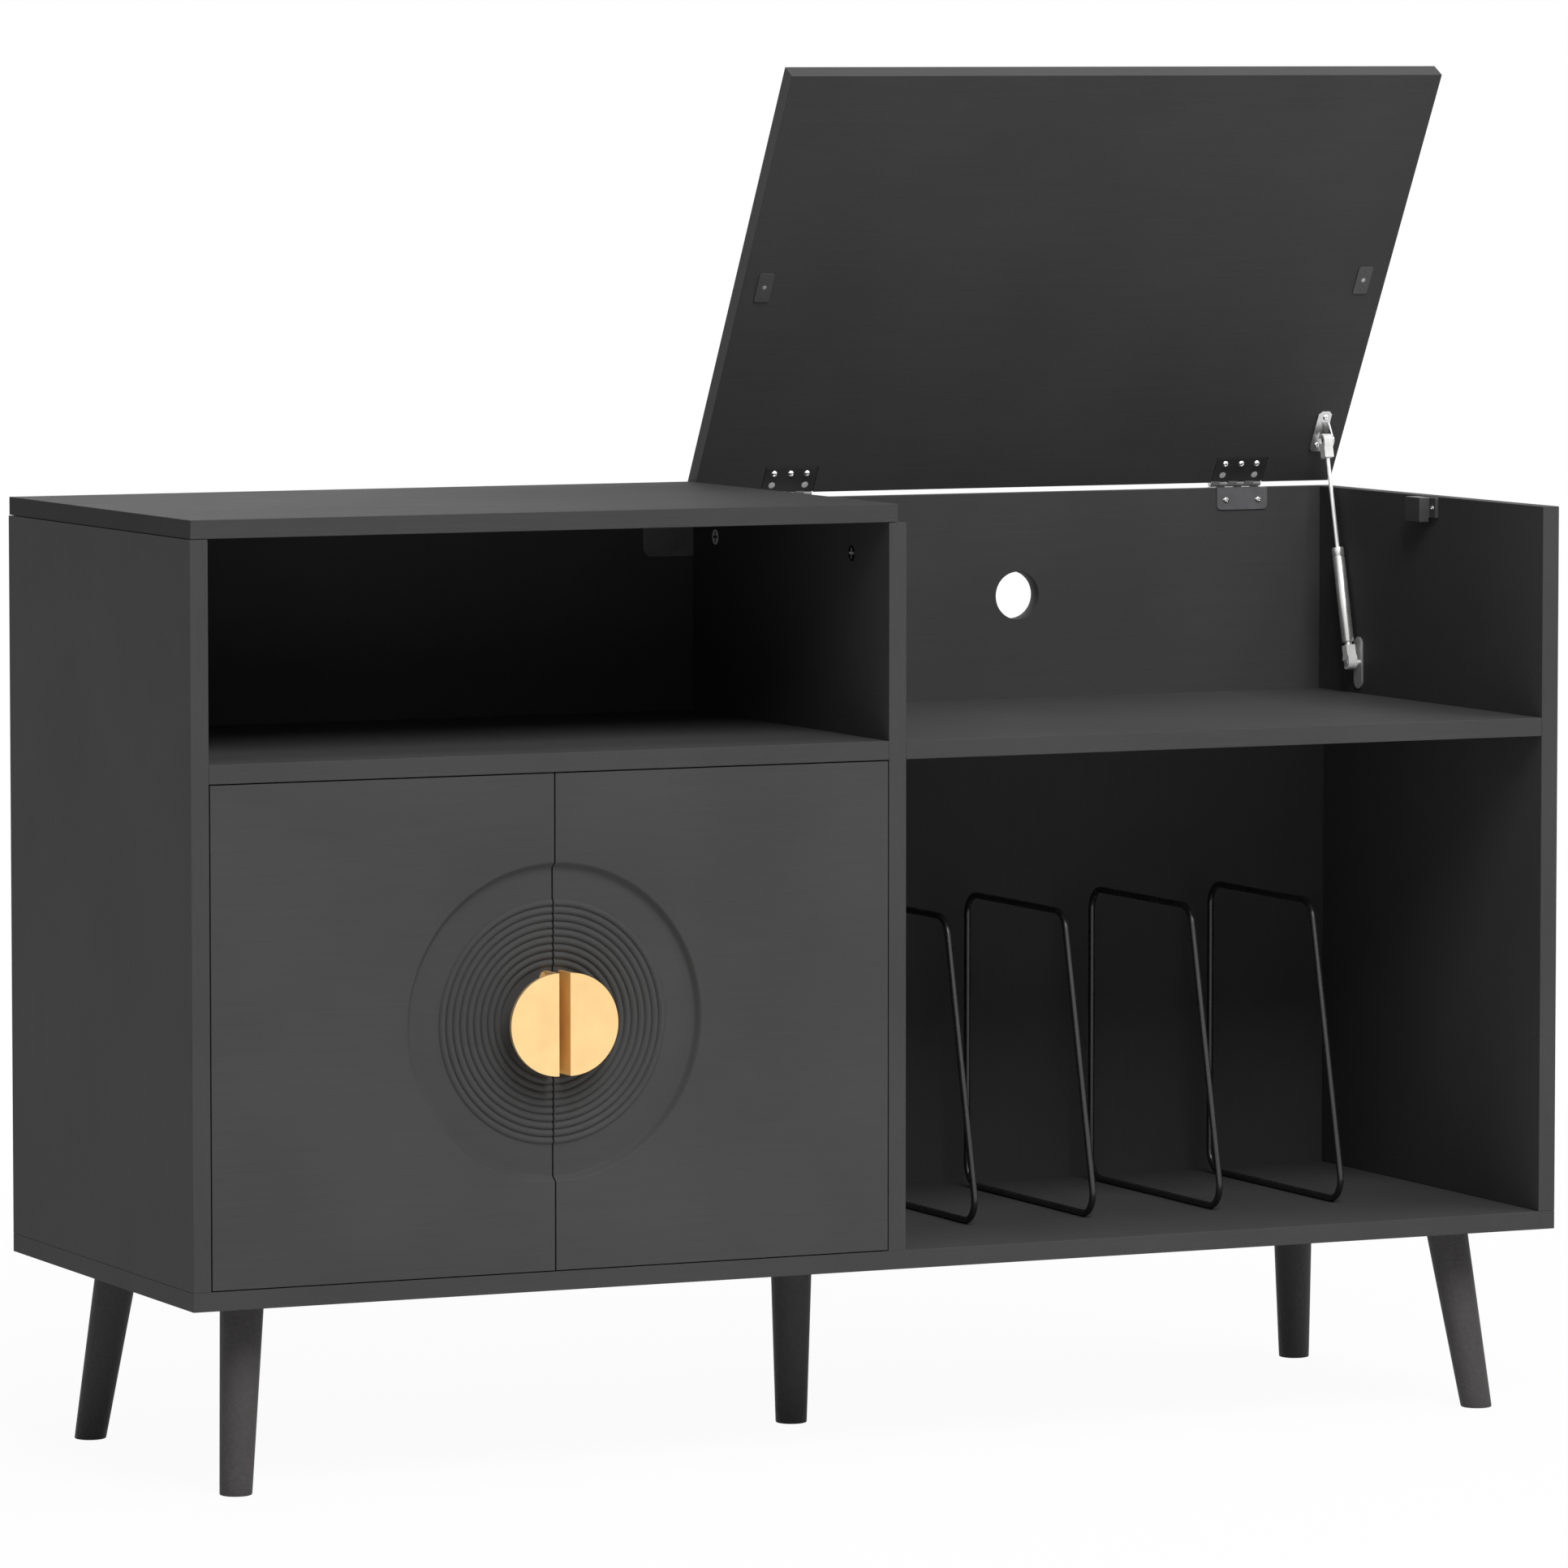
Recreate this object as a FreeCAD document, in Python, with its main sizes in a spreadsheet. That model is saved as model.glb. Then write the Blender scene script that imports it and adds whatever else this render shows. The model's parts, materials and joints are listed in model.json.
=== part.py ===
"""Record cabinet on five tapered legs, built as a parametric document.

Millimetres. +X is to the right, +Y to the back and +Z up. The origin is on the
floor, at the middle of the cabinet, under its middle leg. The left half has an
open bay over a cupboard with two doors. The right half has a turntable bay under
a lift-up lid, and a record bay below it. The lid stands open on its gas strut.
"""
import FreeCAD, Part
import math
import os

import Sketcher

# Driving sizes, each written once. They become the cells of the sheet "dims".
SIZES = {
    # carcass
    "cabinet_width": 1200.0,
    "cabinet_depth": 400.0,
    "board_thickness": 15.0,
    "upper_bay_height": 173.0,
    "lower_bay_height": 392.0,
    "top_board_inset": 0.7,
    "back_sheet_thickness": 5.0,
    "back_sheet_setback": 18.0,
    "groove_depth": 5.0,
    "groove_play": 0.1,
    "cable_hole_radius": 20.0,
    "corner_plate_side": 45.0,
    "corner_plate_thickness": 1.5,
    "corner_plate_radius": 8.0,
    "cam_radius": 6.25,
    "cam_depth": 11.0,
    "cam_drop": 27.6,
    "cam_front_inset": 70.1,
    "cam_rear_inset": 67.8,
    "cam_slot_width": 2.0,
    # legs
    "leg_height": 150.0,
    "leg_top_radius": 17.3,
    "leg_foot_radius": 12.8,
    "leg_sides": 20,
    "leg_foot_inset_x": 50.1,
    "leg_foot_inset_y": 40.1,
    "leg_splay_x": 15.7,
    "leg_splay_y": 25.1,
    "leg_plate_side": 50.0,
    "leg_plate_thickness": 2.0,
    "leg_plate_chamfer": 6.0,
    # record dividers
    "wire_radius": 2.75,
    "wire_height": 250.0,
    "wire_front_inset": 106.0,
    "wire_back_inset": 55.0,
    "wire_front_lean": 58.7,
    "wire_bend_radius": 18.0,
    "wire_edge_share": 0.58,
    "wire_seat_gap": 0.05,
    "wire_inset_1": 115.3,
    "wire_inset_2": 222.8,
    "wire_inset_3": 238.0,
    "wire_inset_4": 125.1,
    # lid and its hinges
    "lid_length": 397.5,
    "lid_side_gap": 0.75,
    "lid_rest_gap": 0.5,
    "lid_open_angle": 60.8,
    "pin_inset": 1.76,
    "pin_setback": 2.36,
    "pin_radius": 1.6,
    "pin_play": 0.06,
    "hinge_inset_left": 78.5,
    "hinge_inset_right": 76.0,
    "hinge_width": 48.0,
    "hinge_play": 0.35,
    "knuckle_radius": 3.2,
    "knuckle_gap": 0.3,
    "knuckle_count": 6,
    "lid_leaf_length": 24.0,
    "lid_leaf_thickness": 1.5,
    "lid_leaf_chamfer": 1.5,
    "back_leaf_height": 18.6,
    "back_leaf_thickness": 1.2,
    "back_leaf_radius": 4.0,
    # lid catches and their strike plates
    "catch_rear_inset": 188.0,
    "catch_length": 25.1,
    "catch_width": 9.0,
    "catch_height": 20.7,
    "catch_flange_length": 36.3,
    "catch_flange_height": 17.0,
    "catch_flange_thickness": 3.3,
    "strike_inset_left": 13.0,
    "strike_inset_right": 7.5,
    "strike_reach": 186.0,
    "strike_width": 13.5,
    "strike_length": 26.6,
    "strike_chamfer": 1.5,
    "strike_thickness": 1.0,
    "strike_play": 0.3,
    # gas strut
    "strut_wall_offset": 8.5,
    "strut_lid_reach": 48.2,
    "strut_lid_drop": 12.5,
    "strut_foot_inset": 86.4,
    "strut_foot_rise": 26.0,
    "socket_width": 8.4,
    "socket_radius": 5.5,
    "socket_shoulder": 7.0,
    "socket_neck": 4.2,
    "socket_length": 15.2,
    "socket_mouth": 4.6,
    "stud_radius": 3.0,
    "stud_play": 0.3,
    "tube_radius": 5.15,
    "tube_bottom": 18.0,
    "tube_floor": 26.0,
    "tube_top": 99.7,
    "tube_bore_radius": 2.2,
    "tube_stem_radius": 3.0,
    "rod_radius": 1.75,
    "rod_overlap": 18.0,
    "bracket_thickness": 1.5,
    "wall_bracket_length": 44.0,
    "wall_bracket_width": 14.0,
    "lid_bracket_reach": 30.0,
    "lid_bracket_length": 40.0,
    "lid_bracket_width": 13.0,
    "lid_bracket_chamfer": 3.0,
    "lug_radius": 4.5,
    "lug_base": 22.0,
    "lug_gap": 0.6,
    # doors
    "door_gap": 1.0,
    "door_seam_gap": 1.3,
    "relief_radius": 126.0,
    "relief_depth": 5.6,
    "relief_bevel": 5.5,
    "ridge_outer_radius": 96.5,
    "ridge_pitch": 5.9,
    "ridge_rise": 2.8,
    "ridge_count": 9,
    "handle_radius": 41.3,
    "handle_seam_offset": 5.2,
    "handle_reach": 19.0,
    "handle_plate": 3.5,
    "handle_web": 3.0,
    "handle_foot_width": 10.0,
    "handle_foot_height": 76.0,
    "handle_foot_thickness": 2.5,
    "handle_foot_chamfer": 3.0,
    "cup_radius": 17.5,
    "cup_depth": 11.5,
    "cup_wall": 1.2,
    "cup_window": 23.0,
    "cup_play": 0.1,
    "cup_side_offset": 22.5,
    "cup_end_offset": 70.0,
    "cup_flange_height": 56.0,
    "cup_flange_width": 16.0,
    "cup_flange_thickness": 1.0,
    "arm_gap": 0.3,
    "arm_length": 56.0,
    "arm_height": 13.0,
    "arm_width": 8.0,
    "arm_toe_length": 34.0,
    "arm_toe_thickness": 6.0,
    "arm_plate_inset": 18.0,
    "arm_plate_length": 34.0,
    "arm_plate_height": 46.0,
    "arm_plate_thickness": 2.0,
}

doc = FreeCAD.newDocument("record_cabinet")
sheet = doc.addObject("Spreadsheet::Sheet", "dims")
for row, (alias, size) in enumerate(SIZES.items(), 1):
    sheet.set(f"A{row}", alias)
    sheet.set(f"B{row}", str(size))
    sheet.setAlias(f"B{row}", alias)
doc.recompute()


# Bound sizes ---------------------------------------------------------------

class Size:
    """A length or an angle: its value now, and the expression that ties it to the sheet."""

    def __init__(self, value, text):
        self.value = value
        self.text = text

    def __add__(self, other):
        other = size_of(other)
        return Size(self.value + other.value, f"({self.text} + {other.text})")

    def __sub__(self, other):
        other = size_of(other)
        return Size(self.value - other.value, f"({self.text} - {other.text})")

    def __mul__(self, other):
        other = size_of(other)
        return Size(self.value * other.value, f"({self.text} * {other.text})")

    def __truediv__(self, other):
        other = size_of(other)
        return Size(self.value / other.value, f"({self.text} / {other.text})")

    def __radd__(self, other):
        return size_of(other) + self

    def __rsub__(self, other):
        return size_of(other) - self

    def __rmul__(self, other):
        return size_of(other) * self

    def __neg__(self):
        return ZERO - self


def size_of(item):
    """The Size itself, or a Size for a plain number."""
    if isinstance(item, Size):
        return item
    return Size(float(item), f"{float(item)}")


def dim(alias):
    """The driving size of that name."""
    return Size(float(sheet.get(alias)), f"dims.{alias}")


def square_root(area):
    return Size(math.sqrt(area.value), f"sqrt({area.text})")


def sine(angle):
    return Size(math.sin(math.radians(angle.value)), f"sin({angle.text} * 1 deg)")


def cosine(angle):
    return Size(math.cos(math.radians(angle.value)), f"cos({angle.text} * 1 deg)")


def tangent(angle):
    return Size(math.tan(math.radians(angle.value)), f"tan({angle.text} * 1 deg)")


def slope(rise, run):
    """The angle in degrees whose tangent is rise over run."""
    value = math.degrees(math.atan2(rise.value, run.value))
    return Size(value, f"(atan2({rise.text}; {run.text}) / 1 deg)")


ZERO = size_of(0)

# Planes and places that several pieces share.
BOARD = dim("board_thickness")
HALF_BOARD = BOARD / 2
HALF_WIDTH = dim("cabinet_width") / 2
HALF_DEPTH = dim("cabinet_depth") / 2
INNER_X = HALF_WIDTH - BOARD
FLOOR_TOP = dim("leg_height") + BOARD
SHELF_UNDER = FLOOR_TOP + dim("lower_bay_height")
SHELF_TOP = SHELF_UNDER + BOARD
PANEL_TOP = SHELF_TOP + dim("upper_bay_height")
SHEET_BACK = HALF_DEPTH - dim("back_sheet_setback")
SHEET_FRONT = SHEET_BACK - dim("back_sheet_thickness")
BACK_BOARD_FRONT = HALF_DEPTH - BOARD
PIN_Y = HALF_DEPTH - dim("pin_inset")
PIN_Z = PANEL_TOP + dim("lid_rest_gap") + dim("knuckle_radius")
LID_UNDER = -dim("knuckle_radius")
LID_REAR = -dim("pin_setback")
STRAP_TOP = LID_UNDER - dim("hinge_play")
SEAM_X = (-INNER_X - HALF_BOARD) / 2
DOOR_MIDDLE = (FLOOR_TOP + SHELF_UNDER) / 2

# Straight steps in which small bends are made.
KNUCKLE_STEPS = 10
WIRE_STEPS = 3
CUP_STEPS = 24

parts = {}


def bay_x(side, inset):
    """X at an inset from the left or the right inner face of the right half."""
    return HALF_BOARD + inset if side == "left" else INNER_X - inset


# Building helpers ----------------------------------------------------------

def bind(item, prop, size):
    """Ties a property to the sheet."""
    item.setExpression(prop, size_of(size).text)


def place(item, x=0, y=0, z=0, turn=None):
    """Ties a Placement to the sheet: a position, and a turn about X in degrees."""
    if turn is not None:
        start = FreeCAD.Rotation(FreeCAD.Vector(1, 0, 0), 1)
        item.Placement = FreeCAD.Placement(FreeCAD.Vector(0, 0, 0), start)
        bind(item, "Placement.Rotation.Angle", turn)
    bind(item, "Placement.Base.x", x)
    bind(item, "Placement.Base.y", y)
    bind(item, "Placement.Base.z", z)
    return item


def place_on_lid(item, x=0):
    """Lid pieces are modelled closed, about the hinge pin, then turned up to the open angle."""
    return place(item, x, PIN_Y, PIN_Z, -dim("lid_open_angle"))


def finish(label, item):
    """Names a finished sub-part. The name is also that of its file."""
    item.Label = label
    parts[label] = item


def box(name, x, y, z):
    """A box between pairs of X, Y and Z."""
    item = doc.addObject("Part::Box", name)
    bind(item, "Length", size_of(x[1]) - x[0])
    bind(item, "Width", size_of(y[1]) - y[0])
    bind(item, "Height", size_of(z[1]) - z[0])
    return place(item, x[0], y[0], z[0])


def rod(name, direction, radius, length, x, y, z):
    """A cylinder that starts at a point and runs in the given direction."""
    item = doc.addObject("Part::Cylinder", name)
    turn = FreeCAD.Rotation(FreeCAD.Vector(0, 0, 1), FreeCAD.Vector(*direction))
    item.Placement = FreeCAD.Placement(FreeCAD.Vector(0, 0, 0), turn)
    bind(item, "Radius", radius)
    bind(item, "Height", length)
    return place(item, x, y, z)


def cut(name, base, tools):
    """Cuts each tool from the base in turn."""
    for number, tool in enumerate(tools, 1):
        item = doc.addObject("Part::Cut", f"{name}_cut_{number}")
        item.Base = base
        item.Tool = tool
        base = item
    return base


def new_body(name):
    return doc.addObject("PartDesign::Body", name)


def new_sketch(body, role, offset=0):
    """A sketch on one of the body's own origin planes, moved along the plane's normal."""
    sketch = body.newObject("Sketcher::SketchObject", f"{body.Name}_sketch")
    plane = [feature for feature in body.Origin.OriginFeatures if feature.Role == role][0]
    sketch.AttachmentSupport = [(plane, "")]
    sketch.MapMode = "FlatFace"
    bind(sketch, "AttachmentOffset.Base.z", offset)
    return sketch


def constrain(sketch, kind, size, *where):
    """Adds a sized constraint and ties it to the sheet."""
    index = sketch.addConstraint(Sketcher.Constraint(kind, *where, size.value))
    sketch.setExpression(f"Constraints[{index}]", size.text)


def pin_point(sketch, geometry, point, u, v):
    """Fixes a point of the sketch by its distances from the sketch's origin."""
    constrain(sketch, "DistanceX", size_of(u), -1, 1, geometry, point)
    constrain(sketch, "DistanceY", size_of(v), -1, 1, geometry, point)


def draw_edge(sketch, start, end, arc):
    """Adds a line, or an arc about a centre. Returns the point numbers of its start and end."""
    if not arc:
        sketch.addGeometry(Part.LineSegment(FreeCAD.Vector(*start, 0), FreeCAD.Vector(*end, 0)))
        return 1, 2
    centre = (size_of(arc[0]).value, size_of(arc[1]).value)
    ends = (start, end) if arc[2] > 0 else (end, start)
    angles = [math.atan2(point[1] - centre[1], point[0] - centre[0]) for point in ends]
    radius = math.dist(centre, start)
    circle = Part.Circle(FreeCAD.Vector(*centre, 0), FreeCAD.Vector(0, 0, 1), radius)
    sketch.addGeometry(Part.ArcOfCircle(circle, angles[0], angles[1]))
    return (1, 2) if arc[2] > 0 else (2, 1)


def draw_outline(sketch, corners):
    """A closed outline. A corner is (u, v). Where the edge that leaves it is an arc, it is
    (u, v, centre u, centre v, turn), and a turn of +1 runs anticlockwise."""
    points = [(size_of(corner[0]).value, size_of(corner[1]).value) for corner in corners]
    count = len(corners)
    ends = []
    for number, corner in enumerate(corners):
        ends.append(draw_edge(sketch, points[number], points[(number + 1) % count], corner[2:]))
    for number in range(count):
        after = (number + 1) % count
        joined = (number, ends[number][1], after, ends[after][0])
        sketch.addConstraint(Sketcher.Constraint("Coincident", *joined))
    for number, corner in enumerate(corners):
        pin_point(sketch, number, ends[number][0], corner[0], corner[1])
        if len(corner) > 2:
            pin_centre(sketch, number, corner, points[number], points[(number + 1) % count])


def pin_centre(sketch, number, corner, start, end):
    """Fixes an arc's centre along the line on which it is still free."""
    if abs(end[0] - start[0]) > abs(end[1] - start[1]):
        constrain(sketch, "DistanceY", size_of(corner[3]), -1, 1, number, 3)
    else:
        constrain(sketch, "DistanceX", size_of(corner[2]), -1, 1, number, 3)


def draw_circle(sketch, radius, u=0, v=0):
    centre = FreeCAD.Vector(size_of(u).value, size_of(v).value, 0)
    number = sketch.addGeometry(Part.Circle(centre, FreeCAD.Vector(0, 0, 1), radius.value))
    pin_point(sketch, number, 3, u, v)
    constrain(sketch, "Radius", radius, number)


def rectangle(u, v):
    return [(u[0], v[0]), (u[1], v[0]), (u[1], v[1]), (u[0], v[1])]


def arc_steps(u, v, radius, start, sweep, count):
    """The corners of an arc that is made in straight steps."""
    corners = []
    for step in range(count + 1):
        angle = start + sweep * (step / count)
        corners.append((u + radius * cosine(angle), v + radius * sine(angle)))
    return corners


def cut_rectangle(u, v, chamfer):
    """A rectangle with four corners cut off."""
    u_low = u[0] + chamfer
    u_high = u[1] - chamfer
    v_low = v[0] + chamfer
    v_high = v[1] - chamfer
    return [
        (u_low, v[0]),
        (u_high, v[0]),
        (u[1], v_low),
        (u[1], v_high),
        (u_high, v[1]),
        (u_low, v[1]),
        (u[0], v_high),
        (u[0], v_low),
    ]


def capsule(length, width):
    """A slot outline about the sketch's origin, long in V, with round ends."""
    half = width / 2
    straight = length / 2 - half
    return [
        (half, -straight),
        (half, straight, 0, straight, 1),
        (-half, straight),
        (-half, -straight, 0, -straight, 1),
    ]


def extrude(body, kind, role, offset, length, corners):
    """A Pad or a Pocket of an outline. A single Size as outline is the radius of a circle."""
    sketch = new_sketch(body, role, offset)
    if isinstance(corners, Size):
        draw_circle(sketch, corners)
    else:
        draw_outline(sketch, corners)
    feature = body.newObject(f"PartDesign::{kind}", f"{body.Name}_{kind.lower()}")
    feature.Profile = sketch
    bind(feature, "Length", length)
    return feature


def pad(body, role, offset, length, corners):
    """Pads along the plane's normal. The normal of XZ_Plane points to the front."""
    return extrude(body, "Pad", role, offset, length, corners)


def pocket(body, role, offset, length, corners):
    """Cuts against the plane's normal."""
    return extrude(body, "Pocket", role, offset, length, corners)


def revolve(body, kind, role, corners):
    """Turns an outline once round its V axis, as a Revolution or a Groove."""
    sketch = new_sketch(body, role)
    draw_outline(sketch, corners)
    feature = body.newObject(f"PartDesign::{kind}", f"{body.Name}_{kind.lower()}")
    feature.Profile = sketch
    feature.ReferenceAxis = (sketch, ["V_Axis"])
    feature.Angle = 360
    return feature


# Carcass -------------------------------------------------------------------

def groove(name, x, z):
    """The groove for a thin back sheet, cut into the boards round a bay."""
    play = dim("groove_play")
    return box(name, x, (SHEET_FRONT - play, SHEET_BACK + play), z)


def make_bottom_board():
    x = (-HALF_WIDTH, HALF_WIDTH)
    board = box("bottom_blank", x, (-HALF_DEPTH, HALF_DEPTH), (dim("leg_height"), FLOOR_TOP))
    deep = dim("groove_depth")
    z = (FLOOR_TOP - deep - dim("groove_play"), FLOOR_TOP)
    left = groove("bottom_groove_left", (-INNER_X - deep, -HALF_BOARD + deep), z)
    right = groove("bottom_groove_right", (HALF_BOARD - deep, INNER_X + deep), z)
    finish("bottom_board", cut("bottom", board, [left, right]))


def make_side_panels():
    deep = dim("groove_depth") + dim("groove_play")
    y = (-HALF_DEPTH, HALF_DEPTH)
    z = (FLOOR_TOP, PANEL_TOP)
    left = box("left_side_blank", (-HALF_WIDTH, -INNER_X), y, z)
    left_groove = groove("left_side_groove", (-INNER_X - deep, -INNER_X), z)
    finish("left_side_panel", cut("left_side", left, [left_groove]))
    right = box("right_side_blank", (INNER_X, HALF_WIDTH), y, z)
    right_groove = groove("right_side_groove", (INNER_X, INNER_X + deep), (FLOOR_TOP, SHELF_UNDER + deep))
    finish("right_side_panel", cut("right_side", right, [right_groove]))


def cam_locks():
    """The two cam locks that draw the top board down on the divider: name and Y."""
    return [("front", dim("cam_front_inset") - HALF_DEPTH), ("rear", HALF_DEPTH - dim("cam_rear_inset"))]


def make_divider_panel():
    play = dim("groove_play")
    deep = dim("groove_depth") + play
    x = (-HALF_BOARD, HALF_BOARD)
    blank = box("divider_blank", x, (-HALF_DEPTH, HALF_DEPTH), (FLOOR_TOP, PANEL_TOP))
    left = groove("divider_groove_left", (-HALF_BOARD, -HALF_BOARD + deep), (FLOOR_TOP, PANEL_TOP))
    right = groove("divider_groove_right", (HALF_BOARD - deep, HALF_BOARD), (FLOOR_TOP, SHELF_UNDER + deep))
    tools = [left, right]
    for name, y in cam_locks():
        radius = dim("cam_radius") + play
        length = dim("cam_depth") + play
        z = PANEL_TOP - dim("cam_drop")
        tools.append(rod(f"cam_bore_{name}", (1, 0, 0), radius, length, -HALF_BOARD, y, z))
    finish("divider_panel", cut("divider", blank, tools))


def make_cam_locks():
    """Round cam locks, flush in the divider, each with a cross slot for a screwdriver."""
    half = dim("cam_slot_width") / 2
    arm = dim("cam_radius") * 0.7
    for name, y in cam_locks():
        body = new_body(f"cam_lock_{name}")
        pad(body, "YZ_Plane", 0, dim("cam_depth"), dim("cam_radius"))
        for u, v in ((half, arm), (arm, half)):
            pocket(body, "YZ_Plane", dim("cam_slot_width"), dim("cam_slot_width"), rectangle((-u, u), (-v, v)))
        finish(f"cam_lock_{name}", place(body, -HALF_BOARD, y, PANEL_TOP - dim("cam_drop")))


def make_top_board():
    x = (dim("top_board_inset") - HALF_WIDTH, ZERO)
    blank = box("top_blank", x, (-HALF_DEPTH, HALF_DEPTH), (PANEL_TOP, PANEL_TOP + BOARD))
    deep = dim("groove_depth")
    x = (-INNER_X - deep, -HALF_BOARD + deep)
    tool = groove("top_groove", x, (PANEL_TOP, PANEL_TOP + deep + dim("groove_play")))
    finish("top_board", cut("top", blank, [tool]))


def make_shelves():
    z = (SHELF_UNDER, SHELF_TOP)
    left = box("left_shelf", (-INNER_X, -HALF_BOARD), (-HALF_DEPTH, SHEET_FRONT), z)
    finish("left_shelf", left)
    right = box("shelf_blank", (HALF_BOARD, INNER_X), (-HALF_DEPTH, BACK_BOARD_FRONT), z)
    deep = dim("groove_depth") + dim("groove_play")
    tool = groove("shelf_groove", (HALF_BOARD, INNER_X), (SHELF_UNDER, SHELF_UNDER + deep))
    finish("turntable_shelf", cut("shelf", right, [tool]))


def make_back_sheets():
    """Thin sheets that slide in the grooves."""
    deep = dim("groove_depth")
    y = (SHEET_FRONT, SHEET_BACK)
    x = (-INNER_X - deep, -HALF_BOARD + deep)
    finish("left_back_sheet", box("left_back_sheet", x, y, (FLOOR_TOP - deep, PANEL_TOP + deep)))
    x = (HALF_BOARD - deep, INNER_X + deep)
    finish("right_back_sheet", box("right_back_sheet", x, y, (FLOOR_TOP - deep, SHELF_UNDER + deep)))


def make_upper_back_board():
    """The thick board that carries the lid, with its cable hole and a mortise for each hinge."""
    x = (HALF_BOARD, INNER_X)
    y = (BACK_BOARD_FRONT, HALF_DEPTH)
    blank = box("back_blank", x, y, (SHELF_UNDER, PANEL_TOP))
    hole_x = (HALF_BOARD + INNER_X) / 2
    hole_z = (SHELF_TOP + PANEL_TOP) / 2
    radius = dim("cable_hole_radius")
    tools = [rod("cable_hole", (0, 1, 0), radius, BOARD, hole_x, BACK_BOARD_FRONT, hole_z)]
    half = dim("hinge_width") / 2
    z = (PIN_Z + STRAP_TOP - dim("back_leaf_thickness"), PANEL_TOP)
    for side in ("left", "right"):
        middle = bay_x(side, dim(f"hinge_inset_{side}"))
        tools.append(box(f"mortise_{side}", (middle - half, middle + half), y, z))
    finish("upper_back_board", cut("upper_back", blank, tools))


def make_corner_plate():
    """A steel plate in the top corner of the open bay, against the back sheet."""
    side = dim("corner_plate_side")
    centre = dim("corner_plate_radius") - side
    outline = [(-side, 0), (-side, centre, centre, centre, 1), (centre, -side), (0, -side), (0, 0)]
    body = new_body("back_corner_plate")
    pad(body, "XZ_Plane", 0, dim("corner_plate_thickness"), outline)
    finish("back_corner_plate", place(body, -HALF_BOARD, SHEET_FRONT, PANEL_TOP))


# Legs ----------------------------------------------------------------------

def leg_section(body, radius, height, lean_x, lean_y):
    """A flat-sided section of a leg, close to a circle."""
    sketch = new_sketch(body, "XY_Plane", height)
    count = int(dim("leg_sides").value)
    draw_outline(sketch, arc_steps(lean_x, lean_y, radius, ZERO, size_of(360), count)[:-1])
    return sketch


def make_leg(name, foot_x, foot_y, lean_x, lean_y):
    """A tapered leg from the floor to the plate that is screwed under the cabinet."""
    body = new_body(name)
    height = dim("leg_height") - dim("leg_plate_thickness")
    loft = body.newObject("PartDesign::AdditiveLoft", f"{name}_loft")
    loft.Profile = leg_section(body, dim("leg_foot_radius"), ZERO, ZERO, ZERO)
    loft.Sections = [leg_section(body, dim("leg_top_radius"), height, lean_x, lean_y)]
    loft.Ruled = True
    finish(name, place(body, foot_x, foot_y))
    plate = new_body(f"{name}_plate")
    half = dim("leg_plate_side") / 2
    outline = cut_rectangle((-half, half), (-half, half), dim("leg_plate_chamfer"))
    pad(plate, "XY_Plane", 0, dim("leg_plate_thickness"), outline)
    finish(f"{name}_plate", place(plate, foot_x + lean_x, foot_y + lean_y, height))


def make_legs():
    foot_x = HALF_WIDTH - dim("leg_foot_inset_x")
    foot_y = HALF_DEPTH - dim("leg_foot_inset_y")
    lean_x = dim("leg_splay_x")
    lean_y = dim("leg_splay_y")
    make_leg("leg_front_left", -foot_x, -foot_y, lean_x, lean_y)
    make_leg("leg_front_right", foot_x, -foot_y, -lean_x, lean_y)
    make_leg("leg_rear_left", -foot_x, foot_y, lean_x, -lean_y)
    make_leg("leg_rear_right", foot_x, foot_y, -lean_x, -lean_y)
    make_leg("leg_middle", ZERO, ZERO, ZERO, ZERO)


# Record dividers -----------------------------------------------------------

def divider_outline(radius):
    """A loop at that radius round the four bends of a divider."""
    bend = dim("wire_bend_radius")
    high = dim("wire_height") - dim("wire_radius") * 2
    back = dim("cabinet_depth") - dim("wire_front_inset") - dim("wire_back_inset")
    tilt = slope(dim("wire_front_lean"), high)
    foot = bend * tangent(tilt / 2 + 45)
    head = dim("wire_front_lean") + bend * tangent(45 - tilt / 2)
    bends = [
        (back - bend, bend, size_of(-90), size_of(90)),
        (back - bend, high - bend, ZERO, size_of(90)),
        (head, high - bend, size_of(90), 90 - tilt),
        (foot, bend, 180 - tilt, 90 + tilt),
    ]
    corners = []
    for u, v, start, sweep in bends:
        corners = corners + arc_steps(u, v, radius, start, sweep, WIRE_STEPS)
    return corners


def make_record_divider(number, side):
    """A closed loop of steel wire that stands on the floor of the record bay."""
    name = f"record_divider_{number}"
    body = new_body(name)
    radius = dim("wire_radius")
    bend = dim("wire_bend_radius")
    pad(body, "YZ_Plane", -radius, radius * 2, divider_outline(bend + radius))
    ring = pocket(body, "YZ_Plane", radius, radius * 2, divider_outline(bend - radius))
    doc.recompute()
    rims = []
    for count, edge in enumerate(ring.Shape.Edges, 1):
        if edge.BoundBox.XLength < radius.value:
            rims.append(f"Edge{count}")
    chamfer = body.newObject("PartDesign::Chamfer", f"{name}_chamfer")
    chamfer.Base = (ring, rims)
    bind(chamfer, "Size", radius * dim("wire_edge_share"))
    x = bay_x(side, dim(f"wire_inset_{number}"))
    rise = FLOOR_TOP + radius + dim("wire_seat_gap")
    finish(name, place(body, x, dim("wire_front_inset") - HALF_DEPTH, rise))


def make_record_dividers():
    make_record_divider(1, "left")
    make_record_divider(2, "left")
    make_record_divider(3, "right")
    make_record_divider(4, "right")


# Lid and hinges ------------------------------------------------------------

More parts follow.
